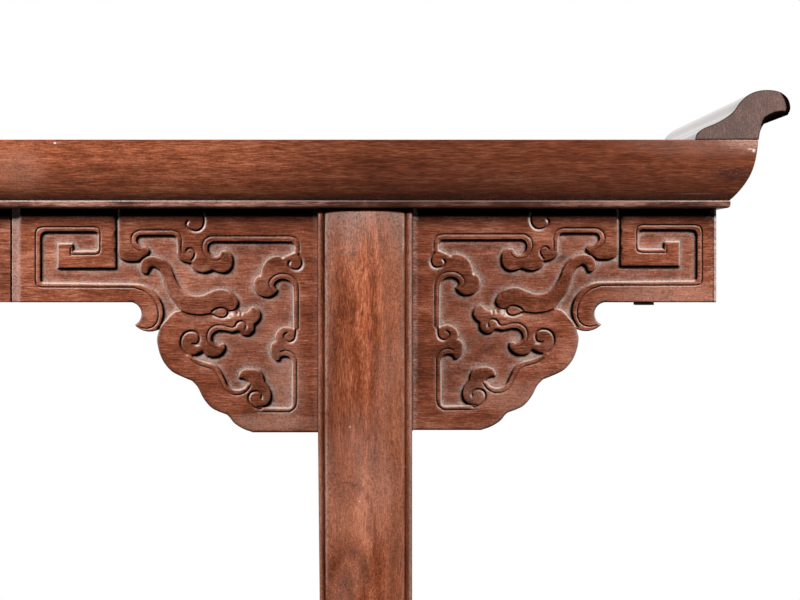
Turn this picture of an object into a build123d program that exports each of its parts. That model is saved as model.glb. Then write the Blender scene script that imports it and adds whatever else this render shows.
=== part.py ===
from build123d import *
import os

# A long hardwood altar table with everted flanges and recessed legs.  The framed top rests on four
# legs.  Each leg is slotted from above, and one carved apron board passes through the slot, so that
# its two scrolled wings hang either side of the leg.  The origin is on the floor under the middle of
# the table: +X runs along its length, +Y to the back and +Z up.

# Whole table
TABLE_LENGTH = 2600.0
TABLE_DEPTH = 500.0
TABLE_HEIGHT = 920.0
HALF_LENGTH = TABLE_LENGTH / 2
HALF_DEPTH = TABLE_DEPTH / 2
MITRE_X = HALF_LENGTH - HALF_DEPTH  # every corner mitre lies on |X| - |Y| = MITRE_X

# Top frame: four mitred rails around a floating panel
RAIL_WIDTH = 100.0
RAIL_THICKNESS = 64.0
RAIL_BOTTOM = TABLE_HEIGHT - RAIL_THICKNESS
EDGE_CURVE = [(0.0, 0.0), (2.2, 19.2), (5.6, 33.2), (12.8, 48.0), (26.0, 64.0)]  # inset, drop
EDGE_RADIUS = 1.5
CORNER_TENON_WIDTH = 50.0
CORNER_TENON_HEIGHT = 20.0
CORNER_TENON_Z = 888.0
CORNER_TENON_Y = 190.0
CORNER_TENON_END = HALF_LENGTH - 16.0

# Panel: two tongued boards with transverse battens dovetailed into their undersides
PANEL_THICKNESS = 16.0
PANEL_BOTTOM = TABLE_HEIGHT - PANEL_THICKNESS
PANEL_TONGUE = 9.0
PANEL_TONGUE_THICKNESS = 8.0
JOINT_TONGUE = 6.0
JOINT_TONGUE_THICKNESS = 5.0
JOINT_TONGUE_BOTTOM = 909.5
PANEL_HALF_X = HALF_LENGTH - RAIL_WIDTH
PANEL_HALF_Y = HALF_DEPTH - RAIL_WIDTH
BATTEN_COUNT = 7
BATTEN_PITCH = 340.0
BATTEN_WIDTH = 40.0
BATTEN_HEIGHT = 42.0
BATTEN_TENON = 14.0
BATTEN_TENON_WIDTH = 20.0
BATTEN_TENON_HEIGHT = 24.0
BATTEN_TENON_Z = 882.0
DOVETAIL_NECK = 30.0
DOVETAIL_TOP = 36.0
DOVETAIL_HEIGHT = 5.0

# Edge strips under the rails
STRIP_THICKNESS = 8.0
STRIP_WIDTH = 68.0
STRIP_INSET = 25.0
STRIP_TOP = RAIL_BOTTOM
STRIP_BOTTOM = STRIP_TOP - STRIP_THICKNESS
STRIP_NOSE_RADIUS = 3.6
PIN_DIAMETER = 5.0
PIN_LENGTH = 20.0
PIN_INSET = 78.0
PIN_PLACES_X = [150.0, 450.0, 750.0, 1120.0]
PIN_PLACE_Y = 90.0

# Everted flanges
FLANGE_FOOT_X = 1232.7
FLANGE_TOE = (1234.9, 926.6)
FLANGE_SCROLL = [
    (1241.0, 931.4),
    (1257.2, 938.5),
    (1272.4, 948.7),
    (1282.6, 961.9),
    (1293.8, 969.9),
    (1308.1, 972.8),
    (1323.4, 970.5),
    (1331.9, 963.4),
    (1334.3, 952.8),
    (1331.5, 946.2),
]
FLANGE_UNDERSIDE = [(1318.5, 944.8), (1308.0, 938.7), (1302.4, 930.0), (1300.4, TABLE_HEIGHT)]
FLANGE_TENON_X = 1262.0
FLANGE_TENON_THICKNESS = 14.0
FLANGE_TENON_WIDTH = 40.0
FLANGE_TENON_DEPTH = 30.0
FLANGE_TENON_PITCH = 120.0

# Legs
LEG_X = 881.0
LEG_WIDTH = 102.0
LEG_DEPTH = 60.0
LEG_FACE_Y = 220.0  # distance of the outer face from the table's middle plane
LEG_TOP = STRIP_BOTTOM
LEG_TAPER = 5.7  # the inner edge runs in by this much from the spandrel to the foot
BEAD_WIDTH = 7.0
FIELD_DEPTH = 1.5
LEG_ARRIS_RADIUS = 2.0
SLOT_OUTER_Y = 206.0
SLOT_INNER_Y = 192.0
TOP_TENON_HEIGHT = 40.0
TOP_TENON_WIDTH = 30.0
TOP_TENON_OFFSET = 22.0
FRONT_TENON_Y = 213.0
FRONT_TENON_THICKNESS = 8.0
REAR_TENON_Y = 176.0
REAR_TENON_THICKNESS = 16.0

# Shoe feet, one under each pair of legs
FOOT_X = 884.0
FOOT_WIDTH = 110.0
FOOT_HEIGHT = 62.0
FOOT_HALF_LENGTH = 245.0
FOOT_ARCH_LENGTH = 240.0
FOOT_ARCH_HEIGHT = 16.0
FOOT_CHAMFER = 5.0
FOOT_CORNER_RADIUS = 3.0
FOOT_TENON_WIDTH = 60.0
FOOT_TENON_DEPTH = 30.0
FOOT_TENON_HEIGHT = 35.0

# Stretchers between the front and back legs, and the openwork ring they hold
STRETCHER_WIDTH = 32.0
STRETCHER_HEIGHT = 36.0
STRETCHER_RADIUS = 5.0
LOWER_STRETCHER_Z = 148.0
UPPER_STRETCHER_Z = 658.0
STRETCHER_TENON = 24.0
STRETCHER_TENON_WIDTH = 16.0
STRETCHER_TENON_HEIGHT = 26.0
RING_THICKNESS = 18.0
RING_SIDE = 36.0
RING_FOOT = 34.0
RING_SHOULDER = 60.0
RING_CROWN = [(-92.0, 594.0), (-66.0, 596.0), (-40.0, 607.0), (0.0, 611.0)]

# Aprons
BOARD_FACE_Y = 212.0
BOARD_THICKNESS = 24.0
BOARD_START_X = 497.0
APRON_BOTTOM = 746.0
SPANDREL_BOTTOM = 606.0
TOP_TONGUE_HEIGHT = 5.0
TOP_TONGUE_THICKNESS = 8.0
TOP_TONGUE_Y = 200.0
OUTER_WING_STRETCH = 1.017
OUTER_WING_SHIFT = 2.0
OUTER_WING_RISE = 0.982
SEAT_CHAMFER = 4.0
CENTRE_APRON_FACE_Y = 208.0
CENTRE_TONGUE = 10.0
CENTRE_TONGUE_THICKNESS = 8.0
CENTRE_TONGUE_Y = 198.0
BLOCK_X = 1188.0
BLOCK_SIZE = (20.0, 18.0)
BLOCK_BOTTOM = 742.6
BLOCK_TOP = 800.0

# Lower edge of a carved wing, as distance from the leg's axis and height above the floor
HOOK_START = (254.0, APRON_BOTTOM)
HOOK_MIDDLE = (243.2, 732.5)
HOOK_TIP = (250.4, 721.7)
HOOK_BELLY = (238.0, 714.5)
WING_NOTCH = (223.9, 716.5)
WING_LOBES = [
    (225.8, 705.0),
    (221.5, 686.7),
    (206.3, 669.4),
    (188.0, 660.5),
    (180.0, 650.0),
    (172.6, 636.3),
    (158.0, 626.8),
    (148.4, 622.0),
    (140.0, 612.5),
    (125.0, SPANDREL_BOTTOM),
]


def save(piece, name):
    """Label a finished piece and write it as the node of that name."""
    piece.part.label = name
    export_step(piece.part, f"parts/{name}.step")


def mirrored(piece, about):
    """The same piece on the other side of the table."""
    with BuildPart() as twin:
        mirror(piece.part, about=about)
    return twin


def mitre(side_x, side_y):
    """Mitre plane of one corner, its normal pointing to the end rail's side."""
    return Plane(origin=(side_x * MITRE_X, 0, 0), z_dir=(side_x, -side_y, 0))


def cross_section(along, start, outer):
    """Plane across a long (X) or an end (Y) member: local x runs inwards, local y up."""
    if along == "x":
        return Plane(origin=(start, -outer, 0), x_dir=(0, 1, 0), z_dir=(1, 0, 0))
    return Plane(origin=(outer, start, 0), x_dir=(-1, 0, 0), z_dir=(0, 1, 0))


# Section of a top rail: the outer edge falls nearly plumb and then sweeps under
with BuildSketch() as rail_section:
    with BuildLine():
        edge_points = [(inset, TABLE_HEIGHT - drop) for inset, drop in EDGE_CURVE]
        Spline(*edge_points)
        Polyline(edge_points[-1], (RAIL_WIDTH, RAIL_BOTTOM), (RAIL_WIDTH, TABLE_HEIGHT), edge_points[0])
    make_face()
    fillet(rail_section.vertices().group_by(Axis.Y)[-1].sort_by(Axis.X)[0], EDGE_RADIUS)

# Section of an edge strip: flat above, with a rounded nose
with BuildSketch() as strip_section:
    with Locations((STRIP_WIDTH / 2, STRIP_BOTTOM + STRIP_THICKNESS / 2)):
        Rectangle(STRIP_WIDTH, STRIP_THICKNESS)
    outer_corners = strip_section.vertices().group_by(Axis.X)[0].sort_by(Axis.Y)
    fillet(outer_corners[0], STRIP_NOSE_RADIUS)

# Legs -------------------------------------------------------------------------------------------
with BuildPart() as front_right_leg:
    with BuildSketch(Plane.XZ.offset(LEG_FACE_Y)):
        with BuildLine():
            Polyline(
                (LEG_X - LEG_WIDTH / 2, LEG_TOP),
                (LEG_X - LEG_WIDTH / 2, SPANDREL_BOTTOM),
                (LEG_X - LEG_WIDTH / 2 + LEG_TAPER, FOOT_HEIGHT),
                (LEG_X + LEG_WIDTH / 2, FOOT_HEIGHT),
                (LEG_X + LEG_WIDTH / 2, LEG_TOP),
                close=True,
            )
        make_face()
    extrude(amount=-LEG_DEPTH)
    fillet(front_right_leg.edges().filter_by(Axis.Z).group_by(Axis.X)[-1], LEG_ARRIS_RADIUS)
    with BuildSketch(Plane.XZ.offset(LEG_FACE_Y)):
        with BuildLine():
            Polyline(
                (LEG_X - LEG_WIDTH / 2 + BEAD_WIDTH, LEG_TOP),
                (LEG_X - LEG_WIDTH / 2 + BEAD_WIDTH, SPANDREL_BOTTOM),
                (LEG_X - LEG_WIDTH / 2 + LEG_TAPER + BEAD_WIDTH, FOOT_HEIGHT),
                (LEG_X + LEG_WIDTH / 2 - BEAD_WIDTH, FOOT_HEIGHT),
                (LEG_X + LEG_WIDTH / 2 - BEAD_WIDTH, LEG_TOP),
                close=True,
            )
        make_face()
    extrude(amount=-FIELD_DEPTH, mode=Mode.SUBTRACT)
    with BuildSketch(Plane.XY.offset(SPANDREL_BOTTOM)):
        with Locations((LEG_X, -(SLOT_OUTER_Y + SLOT_INNER_Y) / 2)):
            Rectangle(2 * LEG_WIDTH, SLOT_OUTER_Y - SLOT_INNER_Y)
    extrude(amount=LEG_TOP - SPANDREL_BOTTOM, mode=Mode.SUBTRACT)
    with BuildSketch(Plane.XY.offset(LEG_TOP)):
        for tenon_x in (LEG_X - TOP_TENON_OFFSET, LEG_X + TOP_TENON_OFFSET):
            with Locations((tenon_x, -FRONT_TENON_Y)):
                Rectangle(TOP_TENON_WIDTH, FRONT_TENON_THICKNESS)
            with Locations((tenon_x, -REAR_TENON_Y)):
                Rectangle(TOP_TENON_WIDTH, REAR_TENON_THICKNESS)
    extrude(amount=TOP_TENON_HEIGHT)
    with BuildSketch(Plane.XY.offset(FOOT_HEIGHT)):
        with Locations((FOOT_X, -(LEG_FACE_Y - LEG_DEPTH / 2))):
            Rectangle(FOOT_TENON_WIDTH, FOOT_TENON_DEPTH)
    extrude(amount=-FOOT_TENON_HEIGHT)

# Stretchers: plain rails tenoned into the inner faces of the legs -------------------------------
INNER_LEG_Y = LEG_FACE_Y - LEG_DEPTH


def make_stretcher(height):
    """A stretcher at the right end of the table, its middle at the given height."""
    with BuildPart() as stretcher:
        with BuildSketch(Plane.XZ.offset(-INNER_LEG_Y)):
            with Locations((FOOT_X, height)):
                RectangleRounded(STRETCHER_WIDTH, STRETCHER_HEIGHT, STRETCHER_RADIUS)
        extrude(amount=2 * INNER_LEG_Y)
        with BuildSketch(Plane.XZ.offset(-INNER_LEG_Y - STRETCHER_TENON)):
            with Locations((FOOT_X, height)):
                Rectangle(STRETCHER_TENON_WIDTH, STRETCHER_TENON_HEIGHT)
        extrude(amount=2 * (INNER_LEG_Y + STRETCHER_TENON))
    return stretcher


right_lower_stretcher = make_stretcher(LOWER_STRETCHER_Z)
right_upper_stretcher = make_stretcher(UPPER_STRETCHER_Z)

with front_right_leg:
    add(right_lower_stretcher.part, mode=Mode.SUBTRACT)
    add(right_upper_stretcher.part, mode=Mode.SUBTRACT)

# Ring: four mitred strips that frame the opening between the two stretchers ----------------------
RING_LOW = LOWER_STRETCHER_Z + STRETCHER_HEIGHT / 2
RING_HIGH = UPPER_STRETCHER_Z - STRETCHER_HEIGHT / 2
RING_INNER_Y = INNER_LEG_Y - RING_SIDE
RING_PLANE = Plane.YZ.offset(FOOT_X - RING_THICKNESS / 2)

with BuildPart() as right_ring_front:
    with BuildSketch(RING_PLANE):
        with BuildLine():
            Polyline(
                (-INNER_LEG_Y, RING_LOW),
                (-RING_INNER_Y, RING_LOW + RING_FOOT),
                (-RING_INNER_Y, RING_HIGH - RING_SHOULDER),
                (-INNER_LEG_Y, RING_HIGH),
                close=True,
            )
        make_face()
    extrude(amount=RING_THICKNESS)

with BuildPart() as right_ring_bottom:
    with BuildSketch(RING_PLANE):
        with BuildLine():
            Polyline(
                (-INNER_LEG_Y, RING_LOW),
                (INNER_LEG_Y, RING_LOW),
                (RING_INNER_Y, RING_LOW + RING_FOOT),
                (-RING_INNER_Y, RING_LOW + RING_FOOT),
                close=True,
            )
        make_face()
    extrude(amount=RING_THICKNESS)

with BuildPart() as right_ring_top:
    with BuildSketch(RING_PLANE):
        with BuildLine():
            mirrored_crown = [(-y, z) for y, z in reversed(RING_CROWN[:-1])]
            Polyline((RING_INNER_Y, RING_HIGH - RING_SHOULDER), (INNER_LEG_Y, RING_HIGH))
            Line((INNER_LEG_Y, RING_HIGH), (-INNER_LEG_Y, RING_HIGH))
            Line((-INNER_LEG_Y, RING_HIGH), (-RING_INNER_Y, RING_HIGH - RING_SHOULDER))
            Spline(
                (-RING_INNER_Y, RING_HIGH - RING_SHOULDER),
                *RING_CROWN,
                *mirrored_crown,
                (RING_INNER_Y, RING_HIGH - RING_SHOULDER),
            )
        make_face()
    extrude(amount=RING_THICKNESS)

right_ring_back = mirrored(right_ring_front, Plane.XZ)

# Shoe foot: a long block across the table's end, arched beneath ----------------------------------
with BuildPart() as right_foot:
    with BuildSketch(Plane.YZ.offset(FOOT_X - FOOT_WIDTH / 2)):
        with BuildLine():
            Polyline(
                (-FOOT_ARCH_LENGTH / 2, 0),
                (-FOOT_HALF_LENGTH, 0),
                (-FOOT_HALF_LENGTH, FOOT_HEIGHT),
                (FOOT_HALF_LENGTH, FOOT_HEIGHT),
                (FOOT_HALF_LENGTH, 0),
                (FOOT_ARCH_LENGTH / 2, 0),
            )
            ThreePointArc((FOOT_ARCH_LENGTH / 2, 0), (0, FOOT_ARCH_HEIGHT), (-FOOT_ARCH_LENGTH / 2, 0))
        make_face()
    extrude(amount=FOOT_WIDTH)
    chamfer(right_foot.faces().sort_by(Axis.Z)[-1].edges(), FOOT_CHAMFER)
    fillet(right_foot.edges().filter_by(Axis.Z), FOOT_CORNER_RADIUS)
    with Locations(
        (FOOT_X, -(LEG_FACE_Y - LEG_DEPTH / 2), FOOT_HEIGHT),
        (FOOT_X, LEG_FACE_Y - LEG_DEPTH / 2, FOOT_HEIGHT),
    ):
        Box(
            FOOT_TENON_WIDTH,
            FOOT_TENON_DEPTH,
            FOOT_TENON_HEIGHT,
            align=(Align.CENTER, Align.CENTER, Align.MAX),
            mode=Mode.SUBTRACT,
        )

# Carved aprons: one board through each leg, with a wing on either side ---------------------------


def wing_points(side):
    """Named points of a wing's lower edge: side -1 is the inner wing, +1 the outer one."""
    stretch = OUTER_WING_STRETCH if side > 0 else 1.0
    shift = OUTER_WING_SHIFT if side > 0 else 0.0
    rise = OUTER_WING_RISE if side > 0 else 1.0

    def place(point):
        reach = point[0] * stretch + shift
        return (LEG_X + side * reach, APRON_BOTTOM + (point[1] - APRON_BOTTOM) * rise)

    hook = [place(point) for point in (HOOK_START, HOOK_MIDDLE, HOOK_TIP, HOOK_BELLY, WING_NOTCH)]
    return hook, [place(point) for point in WING_LOBES]


with BuildPart() as front_right_carved_apron:
    with BuildSketch(Plane.XZ.offset(BOARD_FACE_Y)):
        with BuildLine():
            for wing_side, wing_end in ((-1, BOARD_START_X), (1, HALF_LENGTH)):
                hook_points, lobe_points = wing_points(wing_side)
                start, middle, tip, belly, notch = hook_points
                Line((wing_end, APRON_BOTTOM), start)
                ThreePointArc(start, middle, tip)
                ThreePointArc(tip, belly, notch)
                Spline(notch, *lobe_points)
                shoulder = (LEG_X + wing_side * LEG_WIDTH / 2, lobe_points[-1][1])
                seat = (LEG_X + wing_side * (LEG_WIDTH / 2 - SEAT_CHAMFER), SPANDREL_BOTTOM)
                Polyline(lobe_points[-1], shoulder, seat, (LEG_X, SPANDREL_BOTTOM))
                Line((wing_end, APRON_BOTTOM), (wing_end, STRIP_BOTTOM))
            Line((BOARD_START_X, STRIP_BOTTOM), (HALF_LENGTH, STRIP_BOTTOM))
        make_face()
    extrude(amount=-BOARD_THICKNESS)
    with BuildSketch(Plane.XY.offset(STRIP_BOTTOM)):
        with Locations((BOARD_START_X, -TOP_TONGUE_Y)):
            Rectangle(
                HALF_LENGTH - BOARD_START_X,
                TOP_TONGUE_THICKNESS,
                align=(Align.MIN, Align.CENTER),
            )
    extrude(amount=TOP_TONGUE_HEIGHT)
    split(bisect_by=mitre(1, -1), keep=Keep.BOTTOM)
    add(front_right_leg.part, mode=Mode.SUBTRACT)

# Centre apron: plain, set back a little behind the carved boards and tongued into their ends
with BuildPart() as front_centre_apron:
    with BuildSketch(Plane.XZ.offset(CENTRE_APRON_FACE_Y)):
        with Locations((0, (APRON_BOTTOM + STRIP_BOTTOM) / 2)):
            Rectangle(2 * BOARD_START_X, STRIP_BOTTOM - APRON_BOTTOM)
    extrude(amount=-(CENTRE_APRON_FACE_Y - BOARD_FACE_Y + BOARD_THICKNESS))
    with BuildSketch(Plane.XZ.offset(CENTRE_TONGUE_Y + CENTRE_TONGUE_THICKNESS / 2)):
        with Locations((0, (APRON_BOTTOM + STRIP_BOTTOM) / 2)):
            Rectangle(2 * (BOARD_START_X + CENTRE_TONGUE), STRIP_BOTTOM - APRON_BOTTOM)
    extrude(amount=-CENTRE_TONGUE_THICKNESS)
    with BuildSketch(Plane.XY.offset(STRIP_BOTTOM)):
        with Locations((0, -TOP_TONGUE_Y)):
            Rectangle(2 * BOARD_START_X, TOP_TONGUE_THICKNESS)
    extrude(amount=TOP_TONGUE_HEIGHT)

with front_right_carved_apron:
    add(front_centre_apron.part, mode=Mode.SUBTRACT)

# End apron: mitred to the outer ends of the front and back carved boards
with BuildPart() as right_end_apron:
    with BuildSketch(cross_section("y", -HALF_DEPTH, MITRE_X + BOARD_FACE_Y)):
        with Locations((BOARD_THICKNESS / 2, (APRON_BOTTOM + STRIP_BOTTOM) / 2)):
            Rectangle(BOARD_THICKNESS, STRIP_BOTTOM - APRON_BOTTOM)
        with Locations((BOARD_FACE_Y - TOP_TONGUE_Y, STRIP_BOTTOM + TOP_TONGUE_HEIGHT / 2)):
            Rectangle(TOP_TONGUE_THICKNESS, TOP_TONGUE_HEIGHT)
    extrude(amount=TABLE_DEPTH)
    split(bisect_by=mitre(1, -1), keep=Keep.TOP)
    split(bisect_by=mitre(1, 1), keep=Keep.TOP)

# Glue blocks behind the outer wings
with BuildPart() as apron_blocks:
    for block_x in (-BLOCK_X, BLOCK_X):
        for block_side in (-1, 1):
            block_y = block_side * (BOARD_FACE_Y - BOARD_THICKNESS - BLOCK_SIZE[1] / 2)
            with BuildSketch(Plane.XY.offset(BLOCK_BOTTOM)):
                with Locations((block_x, block_y)):
                    Rectangle(*BLOCK_SIZE)
            extrude(amount=BLOCK_TOP - BLOCK_BOTTOM)

# Bamboo pins that hold the edge strips to the rails ----------------------------------------------
with BuildPart() as strip_pins:
    with BuildSketch(Plane.XY.offset(STRIP_BOTTOM)):
        for pin_side in (-1, 1):
            long_strip_y = pin_side * (HALF_DEPTH - PIN_INSET)
            long_places = [(way * pin_x, long_strip_y) for pin_x in PIN_PLACES_X for way in (-1, 1)]
            end_strip_x = pin_side * (HALF_LENGTH - PIN_INSET)
            end_places = [(end_strip_x, pin_y) for pin_y in (-PIN_PLACE_Y, PIN_PLACE_Y)]
            with Locations(long_places + end_places):
                Circle(PIN_DIAMETER / 2)
    extrude(amount=PIN_LENGTH)

# Edge strips, with holes for the leg tenons and grooves for the apron tongues --------------------
front_left_leg = mirrored(front_right_leg, Plane.YZ)
front_left_carved_apron = mirrored(front_right_carved_apron, Plane.YZ)

with BuildPart() as front_strip:
    with BuildSketch(cross_section("x", -HALF_LENGTH, HALF_DEPTH - STRIP_INSET)):
        add(strip_section.sketch)
    extrude(amount=TABLE_LENGTH)
    split(bisect_by=mitre(1, -1), keep=Keep.BOTTOM)
    split(bisect_by=mitre(-1, -1), keep=Keep.BOTTOM)
    for neighbour in (
        front_right_leg,
        front_left_leg,
        front_right_carved_apron,
        front_left_carved_apron,
        front_centre_apron,
        strip_pins,
    ):
        add(neighbour.part, mode=Mode.SUBTRACT)

with BuildPart() as right_end_strip:
    with BuildSketch(cross_section("y", -HALF_DEPTH, HALF_LENGTH - STRIP_INSET)):
        add(strip_section.sketch)
    extrude(amount=TABLE_DEPTH)
    split(bisect_by=mitre(1, -1), keep=Keep.TOP)
    split(bisect_by=mitre(1, 1), keep=Keep.TOP)
    add(right_end_apron.part, mode=Mode.SUBTRACT)
    add(strip_pins.part, mode=Mode.SUBTRACT)

# Battens: dovetailed into the panel, tenoned into the long rails ---------------------------------
battens = []
for batten_index in range(BATTEN_COUNT):
    batten_x = (batten_index - (BATTEN_COUNT - 1) / 2) * BATTEN_PITCH
    with BuildPart() as batten:
        with BuildSketch(Plane.XZ.offset(-PANEL_HALF_Y)):
            with Locations((batten_x, PANEL_BOTTOM - BATTEN_HEIGHT / 2)):
                Rectangle(BATTEN_WIDTH, BATTEN_HEIGHT)
            with BuildLine():
                Polyline(
                    (batten_x - DOVETAIL_NECK / 2, PANEL_BOTTOM),
                    (batten_x - DOVETAIL_TOP / 2, PANEL_BOTTOM + DOVETAIL_HEIGHT),
                    (batten_x + DOVETAIL_TOP / 2, PANEL_BOTTOM + DOVETAIL_HEIGHT),
                    (batten_x + DOVETAIL_NECK / 2, PANEL_BOTTOM),
                    close=True,
                )
            make_face()
        extrude(amount=2 * PANEL_HALF_Y)
        with BuildSketch(Plane.XZ.offset(-PANEL_HALF_Y - BATTEN_TENON)):
            with Locations((batten_x, BATTEN_TENON_Z)):
                Rectangle(BATTEN_TENON_WIDTH, BATTEN_TENON_HEIGHT)
        extrude(amount=2 * (PANEL_HALF_Y + BATTEN_TENON))
    battens.append(batten)

# Panel boards: tongued into the rails all round and into each other in the middle ----------------
with BuildPart() as front_panel_board:
    with BuildSketch(Plane.XY.offset(PANEL_BOTTOM)):
        with Locations((0, -PANEL_HALF_Y / 2)):
            Rectangle(2 * PANEL_HALF_X, PANEL_HALF_Y)
    extrude(amount=PANEL_THICKNESS)
    with BuildSketch(Plane.XY.offset(PANEL_BOTTOM)):
        with Locations((0, -PANEL_HALF_Y - PANEL_TONGUE)):
            Rectangle(
                2 * (PANEL_HALF_X + PANEL_TONGUE),
                PANEL_HALF_Y + PANEL_TONGUE,
                align=(Align.CENTER, Align.MIN),
            )
    extrude(amount=PANEL_TONGUE_THICKNESS)

back_panel_board = mirrored(front_panel_board, Plane.XZ)

with front_panel_board:
    with BuildSketch(Plane.XY.offset(JOINT_TONGUE_BOTTOM)):
        Rectangle(2 * PANEL_HALF_X, 2 * JOINT_TONGUE)
    extrude(amount=JOINT_TONGUE_THICKNESS)

with back_panel_board:
    add(front_panel_board.part, mode=Mode.SUBTRACT)

for board in (front_panel_board, back_panel_board):
    with board:
        for batten in battens:
            add(batten.part, mode=Mode.SUBTRACT)

# Flanges: a scrolled bar on each end rail, held by three blind tenons ----------------------------
with BuildPart() as right_flange:
    with BuildSketch(Plane.XZ.offset(HALF_DEPTH)):
        with BuildLine():
            Line(FLANGE_UNDERSIDE[-1], (FLANGE_FOOT_X, TABLE_HEIGHT))
            ThreePointArc((FLANGE_FOOT_X, TABLE_HEIGHT), FLANGE_TOE, FLANGE_SCROLL[0])
            Spline(*FLANGE_SCROLL)
            Spline(FLANGE_SCROLL[-1], *FLANGE_UNDERSIDE)
        make_face()
    extrude(amount=-TABLE_DEPTH)
    with BuildSketch(Plane.XY.offset(TABLE_HEIGHT)):
        with GridLocations(0, FLANGE_TENON_PITCH, 1, 3):
            with Locations((FLANGE_TENON_X, 0)):
                Rectangle(FLANGE_TENON_THICKNESS, FLANGE_TENON_WIDTH)
    extrude(amount=-FLANGE_TENON_DEPTH)

# Top rails -------------------------------------------------------------------------------------
with BuildPart() as front_rail:
    with BuildSketch(cross_section("x", -HALF_LENGTH, HALF_DEPTH)):
        add(rail_section.sketch)
    extrude(amount=TABLE_LENGTH)
    split(bisect_by=mitre(1, -1), keep=Keep.BOTTOM)
    split(bisect_by=mitre(-1, -1), keep=Keep.BOTTOM)
    with BuildSketch(Plane.XY.offset(CORNER_TENON_Z - CORNER_TENON_HEIGHT / 2)):
        with Locations((0, -CORNER_TENON_Y)):
            Rectangle(2 * CORNER_TENON_END, CORNER_TENON_WIDTH)
    extrude(amount=CORNER_TENON_HEIGHT)
    for neighbour in (front_panel_board, front_right_leg, front_left_leg, strip_pins, *battens):
        add(neighbour.part, mode=Mode.SUBTRACT)

back_rail = mirrored(front_rail, Plane.XZ)

with BuildPart() as right_end_rail:
    with BuildSketch(cross_section("y", -HALF_DEPTH, HALF_LENGTH)):
        add(rail_section.sketch)
    extrude(amount=TABLE_DEPTH)
    split(bisect_by=mitre(1, -1), keep=Keep.TOP)
    split(bisect_by=mitre(1, 1), keep=Keep.TOP)
    for neighbour in (front_rail, back_rail, front_panel_board, back_panel_board, right_flange, strip_pins):
        add(neighbour.part, mode=Mode.SUBTRACT)

# Written pieces --------------------------------------------------------------------------------
save(front_rail, "front_rail")
save(back_rail, "back_rail")
save(front_panel_board, "front_panel_board")
save(back_panel_board, "back_panel_board")
for batten_index, batten in enumerate(battens):
    save(batten, f"batten_{batten_index + 1}")
save(front_strip, "front_strip")
save(mirrored(front_strip, Plane.XZ), "back_strip")
save(strip_pins, "strip_pins")
save(front_centre_apron, "front_centre_apron")
save(mirrored(front_centre_apron, Plane.XZ), "back_centre_apron")
save(apron_blocks, "apron_blocks")

# Pieces of one corner, written at all four
for name, piece in (("leg", front_right_leg), ("carved_apron", front_right_carved_apron)):
    left_piece = mirrored(piece, Plane.YZ)
    save(piece, f"front_right_{name}")
    save(left_piece, f"front_left_{name}")
    save(mirrored(piece, Plane.XZ), f"back_right_{name}")
    save(mirrored(left_piece, Plane.XZ), f"back_left_{name}")

# Pieces of the right end, written at both ends
END_PIECES = {
    "end_rail": right_end_rail,
    "end_strip": right_end_strip,
    "end_apron": right_end_apron,
    "flange": right_flange,
    "foot": right_foot,
    "lower_stretcher": right_lower_stretcher,
    "upper_stretcher": right_upper_stretcher,
    "ring_front": right_ring_front,
    "ring_back": right_ring_back,
    "ring_top": right_ring_top,
    "ring_bottom": right_ring_bottom,
}
for name, piece in END_PIECES.items():
    save(piece, f"right_{name}")
    save(mirrored(piece, Plane.YZ), f"left_{name}")
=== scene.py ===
import bpy
import bmesh
import math
import numpy as np
from mathutils import Matrix, Vector, noise
from mathutils.geometry import delaunay_2d_cdt
from mathutils.kdtree import KDTree


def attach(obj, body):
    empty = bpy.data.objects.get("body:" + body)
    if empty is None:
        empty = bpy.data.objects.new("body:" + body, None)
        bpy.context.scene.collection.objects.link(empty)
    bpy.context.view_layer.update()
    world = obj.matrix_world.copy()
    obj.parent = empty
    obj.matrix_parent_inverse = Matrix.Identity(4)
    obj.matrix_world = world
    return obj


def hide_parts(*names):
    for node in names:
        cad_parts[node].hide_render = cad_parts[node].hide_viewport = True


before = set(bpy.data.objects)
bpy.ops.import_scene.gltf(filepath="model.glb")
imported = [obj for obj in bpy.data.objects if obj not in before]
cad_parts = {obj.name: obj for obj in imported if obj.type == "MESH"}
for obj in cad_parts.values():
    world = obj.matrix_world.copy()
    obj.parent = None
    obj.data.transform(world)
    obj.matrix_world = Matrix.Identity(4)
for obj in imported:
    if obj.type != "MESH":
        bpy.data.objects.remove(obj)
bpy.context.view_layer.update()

# Shoe feet ---------------------------------------------------------------------------------------
# Under each pair of legs lies one thick block of rosewood, sawn with a low arch beneath.  Its top
# edges are planed off, and the legs' lower tenons are let into it.


def tone(red, green, blue):
    """A finish colour said in everyday 0-255 values, as the linear values a shader takes."""
    shares = [value / 255 for value in (red, green, blue)]
    return (*[c / 12.92 if c < 0.04045 else ((c + 0.055) / 1.055) ** 2.4 for c in shares], 1.0)


def deeper(colour, share):
    """The same colour made darker or lighter by a share."""
    return tuple(min(1.0, share * c) for c in colour[:3]) + (1.0,)


def plug(tree, socket, value):
    """Give a shader socket either a value or another node's output."""
    if isinstance(value, bpy.types.NodeSocket):
        tree.links.new(value, socket)
    else:
        socket.default_value = value


def wire(tree, kind, inputs=None, **settings):
    """A shader node with its settings and its inputs."""
    made = tree.nodes.new(kind)
    for setting, value in settings.items():
        setattr(made, setting, value)
    for socket, value in (inputs or {}).items():
        plug(tree, made.inputs[socket], value)
    return made


def grey_math(tree, operation, first, second, clamp=False):
    """One sum on two grey values."""
    made = wire(tree, "ShaderNodeMath", {0: first, 1: second}, operation=operation, use_clamp=clamp)
    return made.outputs[0]


def vector_math(tree, operation, first, second=(0, 0, 0)):
    """One sum on two vectors, or the length of the first."""
    made = wire(tree, "ShaderNodeVectorMath", {0: first, 1: second}, operation=operation)
    return made.outputs["Value" if operation == "LENGTH" else "Vector"]


def mapped(tree, place, **changes):
    """A place moved, turned or stretched."""
    return wire(tree, "ShaderNodeMapping", {"Vector": place, **changes}).outputs[0]


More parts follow.
